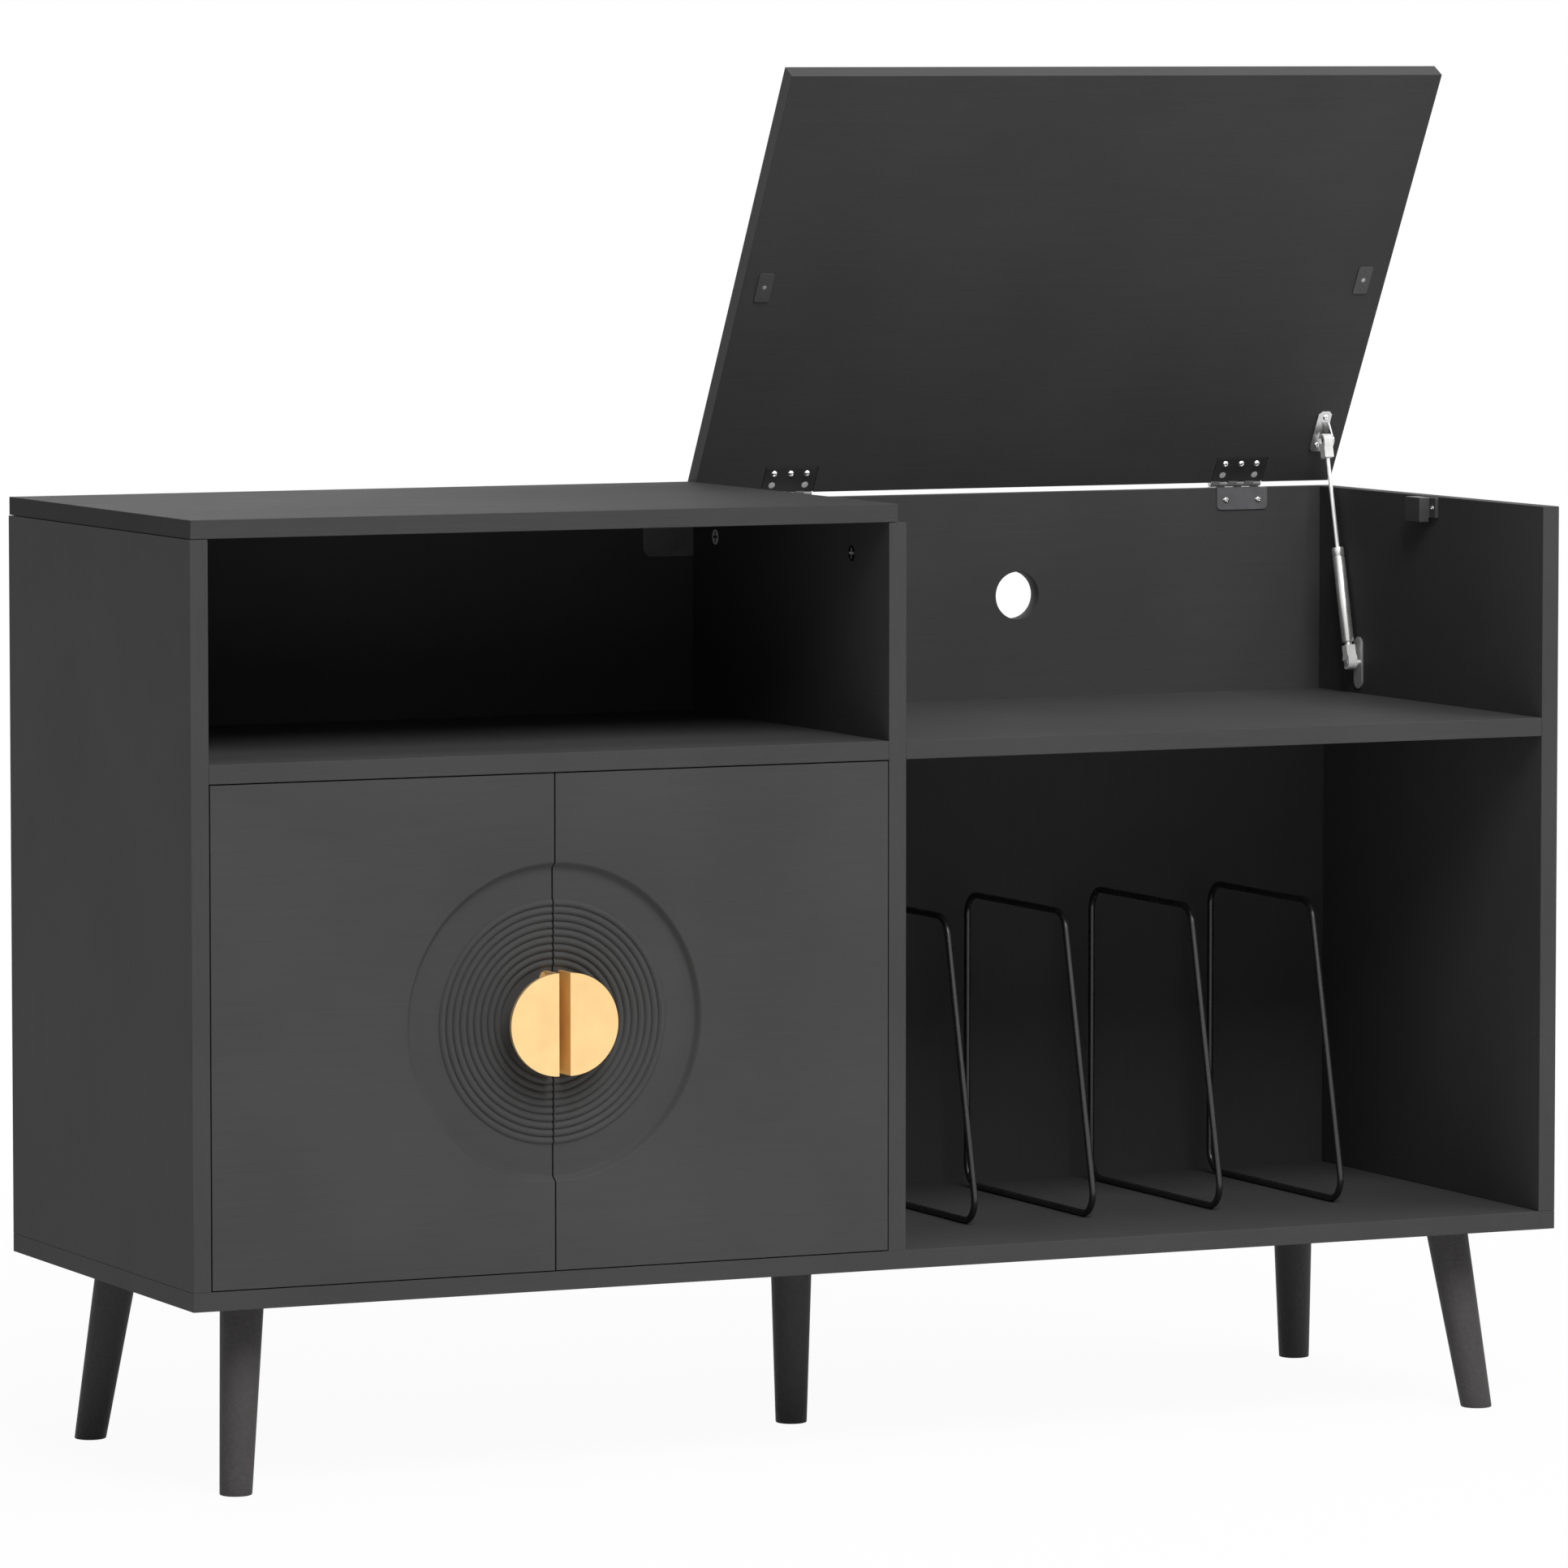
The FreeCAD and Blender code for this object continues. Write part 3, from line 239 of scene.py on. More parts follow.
# The cam locks' zinc: painted dark as shade on the front cam, painted white as highlight on the
# rear cam.
cam_painted_shade = bright_metal("cam_painted_shade", (0.10, 0.10, 0.10), 0.3)
cam_painted_highlight = bright_metal("cam_painted_highlight", (0.98, 0.98, 0.97), 0.45, None, 0.01, 0.0)

BRUSHED_FLAT = (1.0, 1.0, 10.0)
gold = bright_metal("satin_gold", (1.0, 0.68, 0.31), 0.42, BRUSHED_FLAT, 0.02, 0.65)
# The handle's gold again: deeper and browner as painted shade on the web, lighter as painted
# highlight on the rounded rims.
gold_painted_shade = bright_metal("gold_painted_shade", (1.0, 0.63, 0.21), 0.5, BRUSHED_FLAT, 0.02, 0.05)
gold_painted_highlight = bright_metal("gold_painted_highlight", (1.0, 0.84, 0.56), 0.3, BRUSHED_FLAT, 0.02, 0.6)

strike_black = moulded_plastic("strike_black", (0.058, 0.057, 0.06), 0.55)
white_plastic = moulded_plastic("white_plastic", (0.9, 0.9, 0.89), 0.35)
black_plastic = moulded_plastic("black_plastic", (0.055, 0.055, 0.055), 0.42)


# Mesh helpers --------------------------------------------------------------

body_of = {}
for body, members in frame["record"]["behaviour"]["bodies"].items():
    for member in members:
        body_of[member] = body


def to_mesh(name, shape):
    mesh = bpy.data.meshes.new(name)
    shape.normal_update()
    shape.to_mesh(mesh)
    shape.free()
    return mesh


def piece(name, shape, body, material, nodes=()):
    """Puts a shape in the scene, lets it ride on a body and stand for its CAD nodes."""
    thing = bpy.data.objects.new(name, to_mesh(name, shape))
    bpy.context.scene.collection.objects.link(thing)
    thing.data.materials.append(material)
    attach(thing, body)
    if nodes:
        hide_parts(*nodes)
    return thing


def made(node, shape, material):
    """A shape modelled here that stands for one CAD node."""
    return piece(f"{node}_look", shape, body_of[node], material, [node])


def smooth(thing, angle=35.0):
    """Shades a piece smooth, with edges above an angle kept sharp."""
    thing.data.polygons.foreach_set("use_smooth", [True] * len(thing.data.polygons))
    thing.data.set_sharp_from_angle(angle=math.radians(angle))


def round_edges(thing, width, segments, angle=40.0):
    """Softens a piece's edges with a small modelled round."""
    modifier = thing.modifiers.new("edges", "BEVEL")
    modifier.width = width
    modifier.segments = segments
    modifier.limit_method = "ANGLE"
    modifier.angle_limit = math.radians(angle)
    modifier.use_clamp_overlap = True


def soften(thing):
    """Smooth shading on the rounds, while the large faces stay flat."""
    thing.data.polygons.foreach_set("use_smooth", [True] * len(thing.data.polygons))
    modifier = thing.modifiers.new("flat faces", "WEIGHTED_NORMAL")
    modifier.weight = 100
    modifier.keep_sharp = False


def clean_copy(node, whole):
    """A welded copy of a CAD node's shape. Where it is whole, its flat faces are one face each."""
    shape = bmesh.new()
    shape.from_mesh(frame["nodes"][node].data)
    bmesh.ops.remove_doubles(shape, verts=shape.verts, dist=2e-6)
    if whole:
        angle = math.radians(0.5)
        bmesh.ops.dissolve_limit(shape, angle_limit=angle, verts=shape.verts, edges=shape.edges)
    return shape


def dressed(node, material, edge=0.0005, segments=2, curved=True, whole=True):
    """Replaces a CAD node by its own shape with rounded edges and a finish."""
    thing = made(node, clean_copy(node, whole), material)
    round_edges(thing, edge, segments)
    if curved:
        soften(thing)
    return thing


def finish_faces(thing, material, wanted):
    """Gives some of a piece's faces a further finish."""
    thing.data.materials.append(material)
    for face in thing.data.polygons:
        if wanted(face):
            face.material_index = len(thing.data.materials) - 1


def near_axis(face, axis, radius):
    """Whether a face's middle is within a radius in millimetres of an axis along X."""
    return (face.center.yz - axis).length < radius * MM


def lid_point(x, y, z):
    """A point on the closed lid about the hinge pin, turned up to where the lid stands."""
    turned_y = y * math.cos(LID_ANGLE) + z * math.sin(LID_ANGLE)
    turned_z = -y * math.sin(LID_ANGLE) + z * math.cos(LID_ANGLE)
    return Vector((x, PIN_Y + turned_y, PIN_Z + turned_z)) * MM


def band(shape, lower, upper, steps):
    """Faces between two rings of corners. Either ring may be a single point."""
    for step in range(steps):
        after = (step + 1) % steps
        corners = [lower[step % len(lower)], lower[after % len(lower)]]
        corners += [upper[after % len(upper)], upper[step % len(upper)]]
        corners = list(dict.fromkeys(corners))
        if len(corners) > 2:
            shape.faces.new(corners)


def lathe(profile, steps=64):
    """A turned shape about Z from (radius, height) pairs that start and end at radius 0."""
    shape = bmesh.new()
    rings = []
    for radius, height in profile:
        ring = []
        for step in range(steps if radius else 1):
            angle = math.tau * step / steps
            x, y = radius * MM * math.cos(angle), radius * MM * math.sin(angle)
            ring.append(shape.verts.new((x, y, height * MM)))
        rings.append(ring)
    for lower, upper in zip(rings, rings[1:]):
        band(shape, lower, upper, steps)
    bmesh.ops.recalc_face_normals(shape, faces=shape.faces)
    return shape


def aim(shape, point, direction, spin=0.0):
    """Moves a shape built about Z so that its Z looks along a direction, at a point in metres."""
    turn = Vector(direction).normalized().to_track_quat("Z", "Y").to_matrix().to_4x4()
    shape.transform(Matrix.Translation(point) @ turn @ Matrix.Rotation(spin, 4, "Z"))
    return shape


def wire_loop(path, radius, steps):
    """A closed loop of round wire along points, all in metres."""
    shape = bmesh.new()
    count = len(path)
    rings = []
    side = None
    for number, point in enumerate(path):
        along = (path[(number + 1) % count] - path[number - 1]).normalized()
        if side is None:
            side = along.orthogonal().normalized()
        side = (side - along * side.dot(along)).normalized()
        up = along.cross(side)
        ring = []
        for step in range(steps):
            angle = math.tau * step / steps
            outward = side * math.cos(angle) + up * math.sin(angle)
            ring.append(shape.verts.new(point + outward * radius))
        rings.append(ring)
    for number, ring in enumerate(rings):
        band(shape, ring, rings[(number + 1) % count], steps)
    bmesh.ops.recalc_face_normals(shape, faces=shape.faces)
    return shape


# Carcass -------------------------------------------------------------------

board_finishes = {
    "bottom_board": laminate_x,
    "left_side_panel": laminate_z,
    "divider_panel": laminate_z,
    "right_side_panel": laminate_z,
    "top_board": laminate_top,
    "left_shelf": laminate_x,
    "turntable_shelf": laminate_x,
    "upper_back_board": laminate_x,
    "lid_board": laminate_top,
}
boards = {}
for node, finish in board_finishes.items():
    boards[node] = dressed(node, finish, curved=False)

# The top board lies on the panels with a thin shadow line, in millimetres.
SHADOW_LINE = 0.5
top_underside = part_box("top_board")[0][2] + 0.1 * MM
for corner in boards["top_board"].data.vertices:
    if corner.co.z < top_underside:
        corner.co.z += SHADOW_LINE * MM

# The lid's rims have an edge band with more sheen than its faces.
lid_up = lid_point(0, 0, 1) - lid_point(0, 0, 0)
finish_faces(
    boards["lid_board"],
    edge_band,
    lambda face: abs(face.normal.dot(lid_up)) < 0.5 * lid_up.length,
)

dressed("left_back_sheet", back_sheet, 0.0003, curved=False)
dressed("right_back_sheet", back_sheet, 0.0003, curved=False)
# The corner plate's steel is painted lighter grey, as painted light.
corner_plate = dressed("back_corner_plate", steel_with_painted_light, 0.0003)
# Its rims get the lighter steel as a painted highlight.
finish_faces(corner_plate, steel_and_painted_highlight, lambda face: face.normal.y > -0.9)

# A cam lock's slot: its faces lie behind this X, and this near the lock's axis.
CAM_SLOT_X = -7.45
CAM_SLOT_RADIUS = 5.4
# The front cam is painted dark as shade, with its slot lighter as a painted glint; the rear cam is
# painted white as highlight, with its slot black as painted shade in the recess.
for node, finish, slot_painted_light in (
    ("cam_lock_front", cam_painted_shade, steel_and_painted_highlight),
    ("cam_lock_rear", cam_painted_highlight, black_steel),
):
    cam = dressed(node, finish, 0.0002, whole=False)
    low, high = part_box(node)
    axis = Vector(((low[1] + high[1]) / 2, (low[2] + high[2]) / 2))
    finish_faces(
        cam,
        slot_painted_light,
        lambda face: face.center.x > CAM_SLOT_X * MM and near_axis(face, axis, CAM_SLOT_RADIUS),
    )


# Doors ---------------------------------------------------------------------

# The round relief, in millimetres about its centre: a rim that slopes down to a flat floor,
# then round ridges, then the flat that the handles stand on.
RELIEF_RADIUS = 126.0
RELIEF_SLOPE = 5.5
RELIEF_DEPTH = 5.6
RIDGES_RADIUS = 96.5
RIDGE_PITCH = 5.9
RIDGE_COUNT = 9
RIDGE_RISE = 2.0
MIDDLE_RADIUS = 43.4

# A door in millimetres, about the relief's centre: its edges beside the seam and at the hinge,
# half its height, its thickness, and the cup bores in its back.
SEAM_EDGE = 0.65
HINGE_EDGE = 287.75
DOOR_HALF = 195.0
DOOR_THICK = 15.0
DOOR_STEPS = 128
CUP_X = HINGE_EDGE - 22.5
CUP_RADIUS = 17.5
CUP_FLOOR = DOOR_THICK - 11.6
CUP_LEVELS = (-125.0, 125.0)
CUP_STEPS = 24


def relief_depth(radius):
    """Depth of the relief behind the door's front at a radius."""
    if radius >= RELIEF_RADIUS:
        return 0.0
    if radius > RELIEF_RADIUS - RELIEF_SLOPE:
        share = (RELIEF_RADIUS - radius) / RELIEF_SLOPE
        return RELIEF_DEPTH * share * share * (3.0 - 2.0 * share)
    if radius > RIDGES_RADIUS or radius < MIDDLE_RADIUS:
        return RELIEF_DEPTH
    place = (RIDGES_RADIUS - radius) / RIDGE_PITCH % 1.0
    return RELIEF_DEPTH - RIDGE_RISE * (1.0 - abs(place * 2.0 - 1.0) ** 2.2)


def relief_radii():
    """Radii of the rings in which the relief is built, from the outside in."""
    radii = [RELIEF_RADIUS - RELIEF_SLOPE * step / 8 for step in range(9)]
    radii += [115.0, 106.0, 99.0]
    for ridge in range(RIDGE_COUNT):
        outer = RIDGES_RADIUS - RIDGE_PITCH * ridge
        for share in (0.0, 0.05, 0.14, 0.27, 0.42, 0.58, 0.73, 0.86, 0.95):
            radii.append(outer - RIDGE_PITCH * share)
    return radii + [MIDDLE_RADIUS, 36.0, 24.0, 12.0, 4.0]


def relief_arc(radius):
    """A ring of the relief on one door, from the seam's upper end to its lower end."""
    reach = math.acos(SEAM_EDGE / radius)
    depth = relief_depth(radius)
    ring = []
    for step in range(DOOR_STEPS + 1):
        angle = reach - 2 * reach * step / DOOR_STEPS
        ring.append((radius * math.cos(angle), depth, radius * math.sin(angle)))
    ring[0] = (SEAM_EDGE, depth, ring[0][2])
    ring[-1] = (SEAM_EDGE, depth, ring[-1][2])
    return ring


def cup_rim(side, level):
    """X and Z of half a cup bore's rim, from its lowest point to its highest."""
    rim = []
    for step in range(CUP_STEPS + 1):
        angle = math.pi * step / CUP_STEPS
        x = CUP_X + side * CUP_RADIUS * math.sin(angle)
        rim.append((x, level - CUP_RADIUS * math.cos(angle)))
    return rim


class Skin:
    """Faces in millimetres that share their corners."""

    def __init__(self, place):
        self.shape = bmesh.new()
        self.known = {}
        self.place = place

    def corner(self, x, y, z):
        key = (round(x, 4), round(y, 4), round(z, 4))
        if key not in self.known:
            self.known[key] = self.shape.verts.new(self.place(*key))
        return self.known[key]

    def face(self, points):
        """A face through points. Neighbours that fall together count once."""
        corners = [self.corner(*point) for point in points]
        before = corners[-1:] + corners[:-1]
        self.shape.faces.new([here for here, last in zip(corners, before) if here is not last])


def door_back(skin):
    """The back of a door in two halves beside the cups' middle, and the bores in it."""
    for side in (-1, 1):
        edge = HINGE_EDGE if side > 0 else SEAM_EDGE
        outline = [(edge, DOOR_THICK, -DOOR_HALF), (CUP_X, DOOR_THICK, -DOOR_HALF)]
        for level in CUP_LEVELS:
            outline += [(x, DOOR_THICK, z) for x, z in cup_rim(side, level)]
        skin.face(outline + [(CUP_X, DOOR_THICK, DOOR_HALF), (edge, DOOR_THICK, DOOR_HALF)])
        for level in CUP_LEVELS:
            rim = cup_rim(side, level)
            for (x0, z0), (x1, z1) in zip(rim, rim[1:]):
                wall = [(x0, DOOR_THICK, z0), (x1, DOOR_THICK, z1)]
                skin.face(wall + [(x1, CUP_FLOOR, z1), (x0, CUP_FLOOR, z0)])
    for level in CUP_LEVELS:
        rim = cup_rim(1, level) + cup_rim(-1, level)[-2:0:-1]
        skin.face([(x, CUP_FLOOR, z) for x, z in rim])


def door_shape(turn):
    """A door: X from the seam to the hinge edge times turn, Y from the front to the back."""
    skin = Skin(lambda x, y, z: Vector((SEAM_X + x * turn, y - HALF_DEPTH, DOOR_Z + z)) * MM)
    half, thick = DOOR_HALF, DOOR_THICK
    rings = [relief_arc(radius) for radius in relief_radii()]
    for outer, inner in zip(rings, rings[1:]):
        for step in range(DOOR_STEPS):
            skin.face([outer[step], outer[step + 1], inner[step + 1], inner[step]])
    skin.face(rings[-1])

    # The front round the relief, then the edge along the seam.
    front = [(SEAM_EDGE, 0, -half), (HINGE_EDGE, 0, -half)]
    front += [(HINGE_EDGE, 0, half), (SEAM_EDGE, 0, half)]
    skin.face(front + rings[0])
    upper = [ring[0] for ring in rings]
    lower = [ring[-1] for ring in reversed(rings)]
    above = [(SEAM_EDGE, thick, half), (SEAM_EDGE, 0, half)]
    below = [(SEAM_EDGE, 0, -half), (SEAM_EDGE, thick, -half)]
    skin.face(above + upper + lower + below)

    door_back(skin)

    # The lower and upper edges, then the edge along the hinge.
    for z in (-half, half):
        near = [(SEAM_EDGE, 0, z), (HINGE_EDGE, 0, z)]
        far = [(HINGE_EDGE, thick, z), (CUP_X, thick, z), (SEAM_EDGE, thick, z)]
        skin.face(near + far)
    hinge_side = [(HINGE_EDGE, 0, -half), (HINGE_EDGE, 0, half)]
    skin.face(hinge_side + [(HINGE_EDGE, thick, half), (HINGE_EDGE, thick, -half)])
    bmesh.ops.recalc_face_normals(skin.shape, faces=skin.shape.faces)
    return skin.shape


# A handle in millimetres, about the relief's centre: the disc's radius and its straight edge's
# distance from the seam, in the CAD model and as finished here.
DISC_RADIUS, FINE_DISC_RADIUS = 41.3, 40.3
DISC_EDGE, FINE_DISC_EDGE = 5.2, 4.8
DISC_REACH, FINE_DISC_REACH = 36.1, 35.5

# Its foot: beyond this X, within this height and behind this Y. It gets taller and narrower.
FOOT_X, FOOT_HALF, FOOT_Y = 8.1, 38.5, -HALF_DEPTH
FOOT_ROOT, FOOT_RISE, FOOT_NARROWING = 8.2, 2.4, 0.55


def refine_handle(mesh):
    """Brings a handle's disc and straight edge to their finer size, and reshapes its foot."""
    for corner in mesh.vertices:
        x, z = corner.co.x / MM - SEAM_X, corner.co.z / MM - DOOR_Z
        if abs(x) > FOOT_X and abs(z) < FOOT_HALF and corner.co.y > FOOT_Y * MM:
            z += math.copysign(FOOT_RISE, z)
            x = math.copysign(FOOT_ROOT + (abs(x) - FOOT_ROOT) * FOOT_NARROWING, x)
        reach = (abs(x) - DISC_EDGE) * FINE_DISC_REACH / DISC_REACH
        x = math.copysign(FINE_DISC_EDGE + reach, x)
        corner.co.x = (x + SEAM_X) * MM
        corner.co.z = (z * FINE_DISC_RADIUS / DISC_RADIUS + DOOR_Z) * MM


for side, turn in (("left", -1), ("right", 1)):
    door = made(f"{side}_door", door_shape(turn), door_laminate)
    smooth(door, 50.0)
    handle = dressed(f"{side}_handle", gold, 0.0007, 3)
    refine_handle(handle.data)
    # The web beside the seam is painted a deeper, browner gold as shade, and the rounded rims a
    # lighter gold as highlight.
    finish_faces(handle, gold_painted_shade, lambda face: abs(face.normal.x) > 0.99 and face.area > 1e-3)
    handle.data.materials.append(gold_painted_highlight)
    handle.modifiers["edges"].material = len(handle.data.materials) - 1
    for level in ("upper", "lower"):
        dressed(f"{side}_door_cup_{level}", zinc, 0.0003)
        dressed(f"{side}_hinge_arm_{level}", zinc, 0.0006)


# Legs ----------------------------------------------------------------------

LEG_HEIGHT = 148.0
LEG_FOOT_RADIUS = 12.8
LEG_TAPER = 4.5


def make_leg(name, foot_x, foot_y, lean_x, lean_y):
    """A turned leg that leans from its foot to its plate, in millimetres."""
    profile = [(0, 0), (11.6, 0), (12.4, 0.25), (LEG_FOOT_RADIUS, 0.9)]
    for height in (12, 36, 60, 84, 108, 130, 147.2):
        profile.append((LEG_FOOT_RADIUS + LEG_TAPER * height / LEG_HEIGHT, height))
    profile += [(16.6, LEG_HEIGHT), (0, LEG_HEIGHT)]
    shape = lathe(profile)
    for corner in shape.verts:
        share = corner.co.z / (LEG_HEIGHT * MM)
        corner.co.x += (foot_x + lean_x * share) * MM
        corner.co.y += (foot_y + lean_y * share) * MM
    smooth(made(name, shape, leg_lacquer))
    dressed(f"{name}_plate", black_steel, 0.0003)


make_leg("leg_front_left", -549.9, -159.9, 15.7, 25.1)
make_leg("leg_front_right", 549.9, -159.9, -15.7, 25.1)
make_leg("leg_rear_left", -549.9, 159.9, 15.7, -25.1)
make_leg("leg_rear_right", 549.9, 159.9, -15.7, -25.1)
make_leg("leg_middle", 0, 0, 0, 0)


# Record dividers -----------------------------------------------------------

# The wire's radius, and where a loop's centre line starts: its front, and its bar on the floor.
WIRE_RADIUS = 2.75
WIRE_FRONT = -94.0
WIRE_LEVEL = 167.8


def arc(centre_y, centre_z, radius, start, end, steps):
    """Points along an arc between two angles in degrees."""
    points = []
    for step in range(steps + 1):
        angle = math.radians(start + (end - start) * step / steps)
        points.append((centre_y + radius * math.cos(angle), centre_z + radius * math.sin(angle)))
    return points


def make_divider(number, x):
    """A closed loop of round wire: floor bar, rear upright, top bar and a leaning front leg."""
    bend, high, back, lean = 18.0, 244.5, 239.0, 58.7
    tilt = math.degrees(math.atan2(lean, high))
    foot = bend * math.tan(math.radians(45 + tilt / 2))
    head = lean + bend * math.tan(math.radians(45 - tilt / 2))
    line = arc(back - bend, bend, bend, -90, 0, 10)
    line += arc(back - bend, high - bend, bend, 0, 90, 10)
    line += arc(head, high - bend, bend, 90, 180 - tilt, 9)
    line += arc(foot, bend, bend, 180 - tilt, 270, 11)
    path = [Vector((x, y + WIRE_FRONT, z + WIRE_LEVEL)) * MM for y, z in line]
    shape = wire_loop(path, WIRE_RADIUS * MM, 20)
    smooth(made(f"record_divider_{number}", shape, black_wire))


for number, x in enumerate((122.8, 230.3, 347.0, 459.9), 1):
    make_divider(number, x)


# Lid, hinges and catches ---------------------------------------------------

lid_down = lid_point(0, 0, -1) - lid_point(0, 0, 0)


def screw_head(name, body, point, normal, radius, height, material, spin=0.3):
    """A domed screw head with a cross recess, seated on a face. Its size is in millimetres."""
    steps, rings = 48, 14
    arm, width = radius * 0.56, radius * 0.15
    shape = bmesh.new()
    rows = []
    for ring in range(rings + 1):
        share = ring / rings
        row = []
        for step in range(steps if ring else 1):
            angle = math.tau * step / steps
            x, y = radius * share * math.cos(angle), radius * share * math.sin(angle)
            along, across = max(abs(x), abs(y)), min(abs(x), abs(y))
            dome = height * (1.0 - share ** 2.6)
            if along < arm and across < width:
                end = min(1.0, (arm - along) / (arm * 0.4))
                flank = min(1.0, (width - across) / (width * 0.35))
                dome -= height * 0.55 * end * flank
            row.append(shape.verts.new(Vector((x, y, dome)) * MM))
        rows.append(row)
    for inner, outer in zip(rows, rows[1:]):
        band(shape, inner, outer, steps)
    shape.faces.new(rows[-1])
    bmesh.ops.recalc_face_normals(shape, faces=shape.faces)
    aim(shape, point, normal, spin)
    smooth(piece(name, shape, body, material), 60.0)


def lid_screw(name, x, reach, plate, radius, height, material, spin=0.3):
    """A screw head under the lid, at a reach from its rear edge, on a plate as thick as that."""
    point = lid_point(x, LID_REAR - reach, LID_UNDER - plate)
    screw_head(name, "lid", point, lid_down, radius, height, material, spin)


# Within this radius of the pin, a hinge leaf is rolled into knuckles.
KNUCKLE_REACH = 4.2
pin_axis = Vector((PIN_Y, PIN_Z)) * MM

for side, middle in (("left", 86.0), ("right", 509.0)):
    # The back leaf is painted lighter grey than the lid leaf, as painted light.
    for leaf, finish in (("lid", black_steel), ("back", steel_with_painted_light)):
        plate = dressed(f"hinge_{leaf}_leaf_{side}", finish, 0.0002, whole=False)
        # The knuckles get the lighter steel as a painted highlight on their round barrels.
        finish_faces(plate, steel_and_painted_highlight, lambda face: near_axis(face, pin_axis, KNUCKLE_REACH))
    pin = frame["nodes"][f"hinge_pin_{side}"]
    pin.data.materials.clear()
    pin.data.materials.append(zinc)
    # Of the lid's screws, the rear row is flat, because the closed lid leaves it little room.
    heads = [(x, 18.3, 1.7, chrome) for x in (-15.2, 0.0, 14.8)]
    heads += [(x, 7.4, 0.28, bright_rod) for x in (-15.2, 15.2)]
    for number, (x, reach, height, finish) in enumerate(heads, 1):
        name = f"lid_screw_{side}_{number}"
        lid_screw(name, middle + x, reach, 0.0, 2.9, height, finish, 0.25 * number)
    for number, x in enumerate((-15.3, 15.3), 1):
        name = f"back_screw_{side}_{number}"
        point = Vector((middle + x, 183.8, 735.0)) * MM
        screw_head(name, "cabinet", point, (0, -1, 0), 3.0, 1.7, dark_chrome, 0.4 * number)

for side, strike_x, flange_x, turn in (("left", 20.5, 10.8, 1), ("right", 577.5, 581.7, -1)):
    dressed(f"lid_catch_{side}", black_plastic, 0.0006)
    point = Vector((flange_x, -18.7, 735.7)) * MM
    screw_head(f"catch_screw_{side}", "cabinet", point, (turn, 0, 0), 2.4, 1.2, dark_chrome, 0.5)
    dressed(f"strike_plate_{side}", strike_black, 0.0002)
    lid_screw(f"strike_screw_{side}", strike_x, 199.5, 1.0, 1.9, 0.24, steel_and_painted_highlight)
    for number, reach in enumerate((190.5, 208.5), 1):
        name = f"strike_dimple_{side}_{number}"
        lid_screw(name, strike_x, reach, 1.0, 1.5, 0.2, strike_black)


# Gas strut -----------------------------------------------------------------

for node, slot, finish, edge in (
    ("strut_wall_bracket", "zinc_steel", zinc, 0.0003),
    ("strut_lid_bracket", "zinc_steel", dark_chrome, 0.0003),
    ("strut_lower_socket", "white_plastic", white_plastic, 0.0006),
    ("strut_upper_socket", "white_plastic", white_plastic, 0.0006),
    ("strut_rod", "rod_chrome", bright_rod, 0.0002),
):
    dressed(node, finish, edge)

# The tube stands on the lower pivot and leans back. Its profile runs up the outside, over the
# groove under the collar and down the rod's bore, in millimetres.
strut_foot = Vector((576.5, 113.6, 598.0)) * MM
strut_line = (0.0, 0.23997, 0.97078)
tube_profile = [(0, 15.2), (3, 15.2), (3, 18), (4.5, 18), (5.0, 18.2), (5.15, 18.7)]
tube_profile += [(5.15, 91.0), (5.05, 91.2), (4.7, 91.3), (4.7, 92.1), (5.05, 92.2), (5.15, 92.4)]
tube_profile += [(5.15, 98.9), (5.0, 99.4), (4.5, 99.7), (2.2, 99.7), (2.2, 26), (0, 26)]
tube_shape = aim(lathe(tube_profile), strut_foot, strut_line)
smooth(made("strut_tube", tube_shape, brushed))
for number, (x, reach) in enumerate(((577.6, 64.1), (576.1, 36.7)), 1):
    lid_screw(f"bracket_screw_{number}", x, reach, 1.5, 2.6, 1.5, chrome)


# Stage ---------------------------------------------------------------------

# How much of its own white the floor shows near the cabinet, and the distances in metres
# between which that grows to the whole. The rest is the lit floor, with the shadow.
GLOW_SHARE = 0.95
GLOW_START, GLOW_END = 0.6, 2.4


def seen(nodes, links):
    """1 for rays that show a thing directly, in a reflection or through glass, and else 0."""
    path = nodes.new("ShaderNodeLightPath")
    total = path.outputs["Is Camera Ray"]
    for ray in ("Is Glossy Ray", "Is Transmission Ray"):
        either = nodes.new("ShaderNodeMath")
        either.operation = "MAXIMUM"
        links.new(total, either.inputs[0])
        links.new(path.outputs[ray], either.inputs[1])
        total = either.outputs[0]
    return total


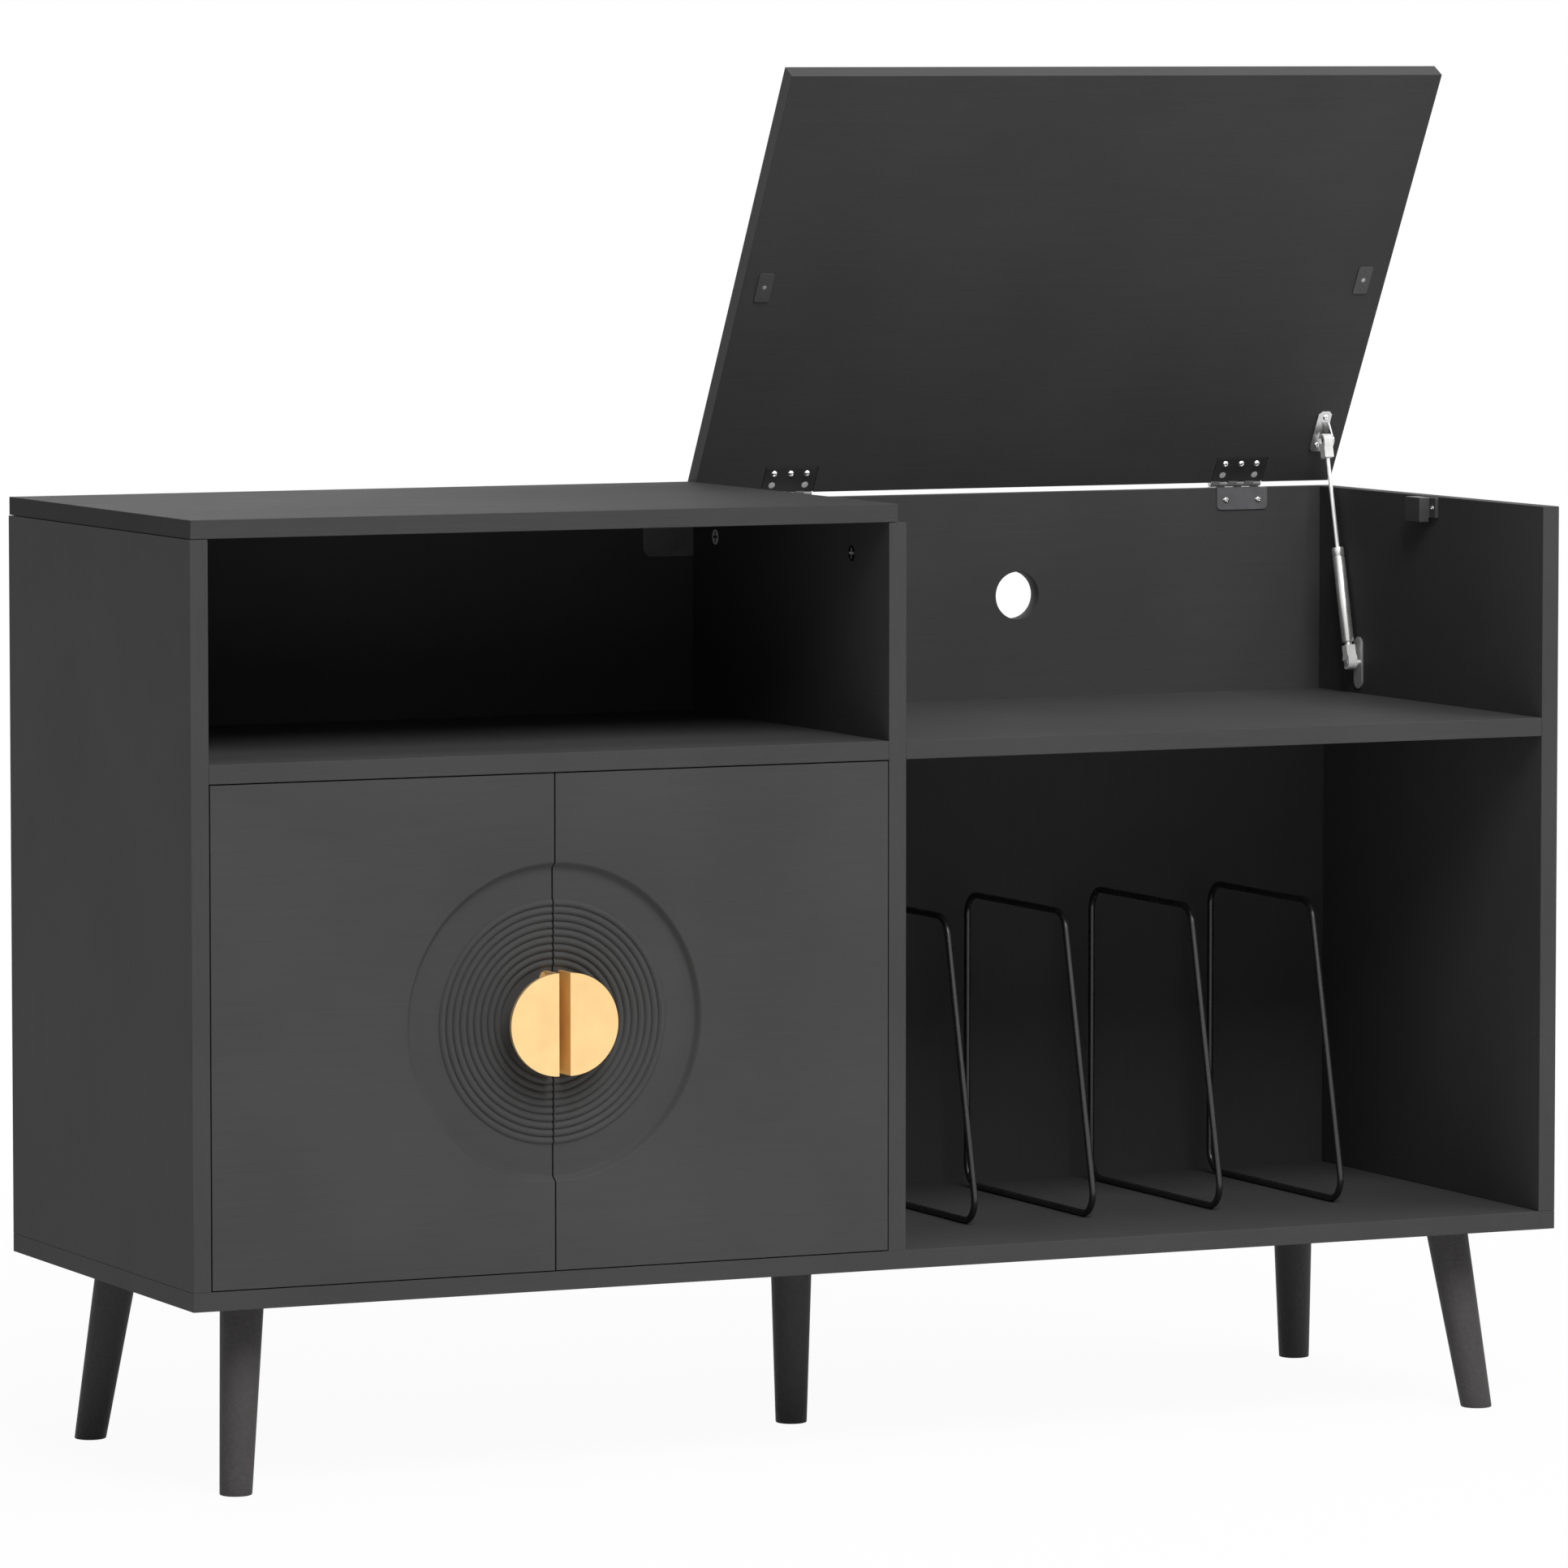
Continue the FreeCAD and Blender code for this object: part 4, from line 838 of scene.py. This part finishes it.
def white_floor(name):
    """A pale floor that looks near white to the camera and keeps the object's shadow."""
    material = bpy.data.materials.new(name)
    material.use_nodes = True
    nodes, links = material.node_tree.nodes, material.node_tree.links
    nodes.clear()
    output = nodes.new("ShaderNodeOutputMaterial")
    mix = nodes.new("ShaderNodeMixShader")
    diffuse = nodes.new("ShaderNodeBsdfDiffuse")
    diffuse.inputs["Color"].default_value = (0.9, 0.9, 0.9, 1)
    glow = nodes.new("ShaderNodeEmission")
    glow.inputs["Strength"].default_value = 1.0
    distance = nodes.new("ShaderNodeVectorMath")
    distance.operation = "LENGTH"
    fade = nodes.new("ShaderNodeMapRange")
    fade.inputs["From Min"].default_value = GLOW_START
    fade.inputs["From Max"].default_value = GLOW_END
    fade.inputs["To Min"].default_value = GLOW_SHARE
    fade.inputs["To Max"].default_value = 1.0
    share = nodes.new("ShaderNodeMath")
    share.operation = "MULTIPLY"
    links.new(nodes.new("ShaderNodeTexCoord").outputs["Object"], distance.inputs[0])
    links.new(distance.outputs["Value"], fade.inputs["Value"])
    links.new(seen(nodes, links), share.inputs[0])
    links.new(fade.outputs["Result"], share.inputs[1])
    links.new(share.outputs[0], mix.inputs[0])
    links.new(diffuse.outputs[0], mix.inputs[1])
    links.new(glow.outputs[0], mix.inputs[2])
    links.new(mix.outputs[0], output.inputs[0])
    return material


def studio_world(name):
    """A world that looks white and lights the scene only a little."""
    world = bpy.data.worlds.new(name)
    world.use_nodes = True
    nodes, links = world.node_tree.nodes, world.node_tree.links
    nodes.clear()
    output = nodes.new("ShaderNodeOutputWorld")
    dim_light = nodes.new("ShaderNodeBackground")
    dim_light.inputs["Strength"].default_value = 0.25
    white_view = nodes.new("ShaderNodeBackground")
    white_view.inputs["Color"].default_value = (1, 1, 1, 1)
    white_view.inputs["Strength"].default_value = 1.0
    mix = nodes.new("ShaderNodeMixShader")
    links.new(seen(nodes, links), mix.inputs[0])
    links.new(dim_light.outputs[0], mix.inputs[1])
    links.new(white_view.outputs[0], mix.inputs[2])
    links.new(mix.outputs[0], output.inputs[0])
    return world


def soft_lamp(name, place, target, width, height, power):
    """A rectangular lamp that looks at a point."""
    lamp = bpy.data.lights.new(name, "AREA")
    lamp.shape = "RECTANGLE"
    lamp.size, lamp.size_y, lamp.energy = width, height, power
    thing = bpy.data.objects.new(name, lamp)
    thing.location = place
    thing.rotation_euler = (Vector(target) - Vector(place)).to_track_quat("-Z", "Y").to_euler()
    bpy.context.scene.collection.objects.link(thing)


floor_shape = bmesh.new()
bmesh.ops.create_grid(floor_shape, x_segments=8, y_segments=8, size=40.0)
floor = bpy.data.objects.new("floor", to_mesh("floor", floor_shape))
bpy.context.scene.collection.objects.link(floor)
floor.data.materials.append(white_floor("floor_white"))

bpy.context.scene.world = studio_world("studio")
soft_lamp("key", (-0.2, -3.9, 4.5), (0, 0, 0.5), 2.6, 2.6, 205.0)
soft_lamp("fill", (2.8, -3.8, 4.2), (0, 0, 0.5), 2.4, 2.4, 40.0)
soft_lamp("top", (1.8, -0.5, 4.0), (0.2, 0, 0.6), 1.6, 1.6, 46.0)
soft_lamp("rear", (0.5, 4.8, 1.3), (0, 0, 0.5), 2.4, 2.0, 40.0)

camera_data = bpy.data.cameras.new("camera")
camera_data.lens = 212.39
camera_data.sensor_width = 36.0
camera_data.clip_end = 200.0
camera = bpy.data.objects.new("camera", camera_data)
camera.location = (-3.16058, -6.79067, 1.13131)
camera.rotation_euler = (math.radians(85.356), 0.0, math.radians(-24.914))
bpy.context.scene.collection.objects.link(camera)
bpy.context.scene.camera = camera
bpy.context.scene.view_settings.view_transform = "Standard"
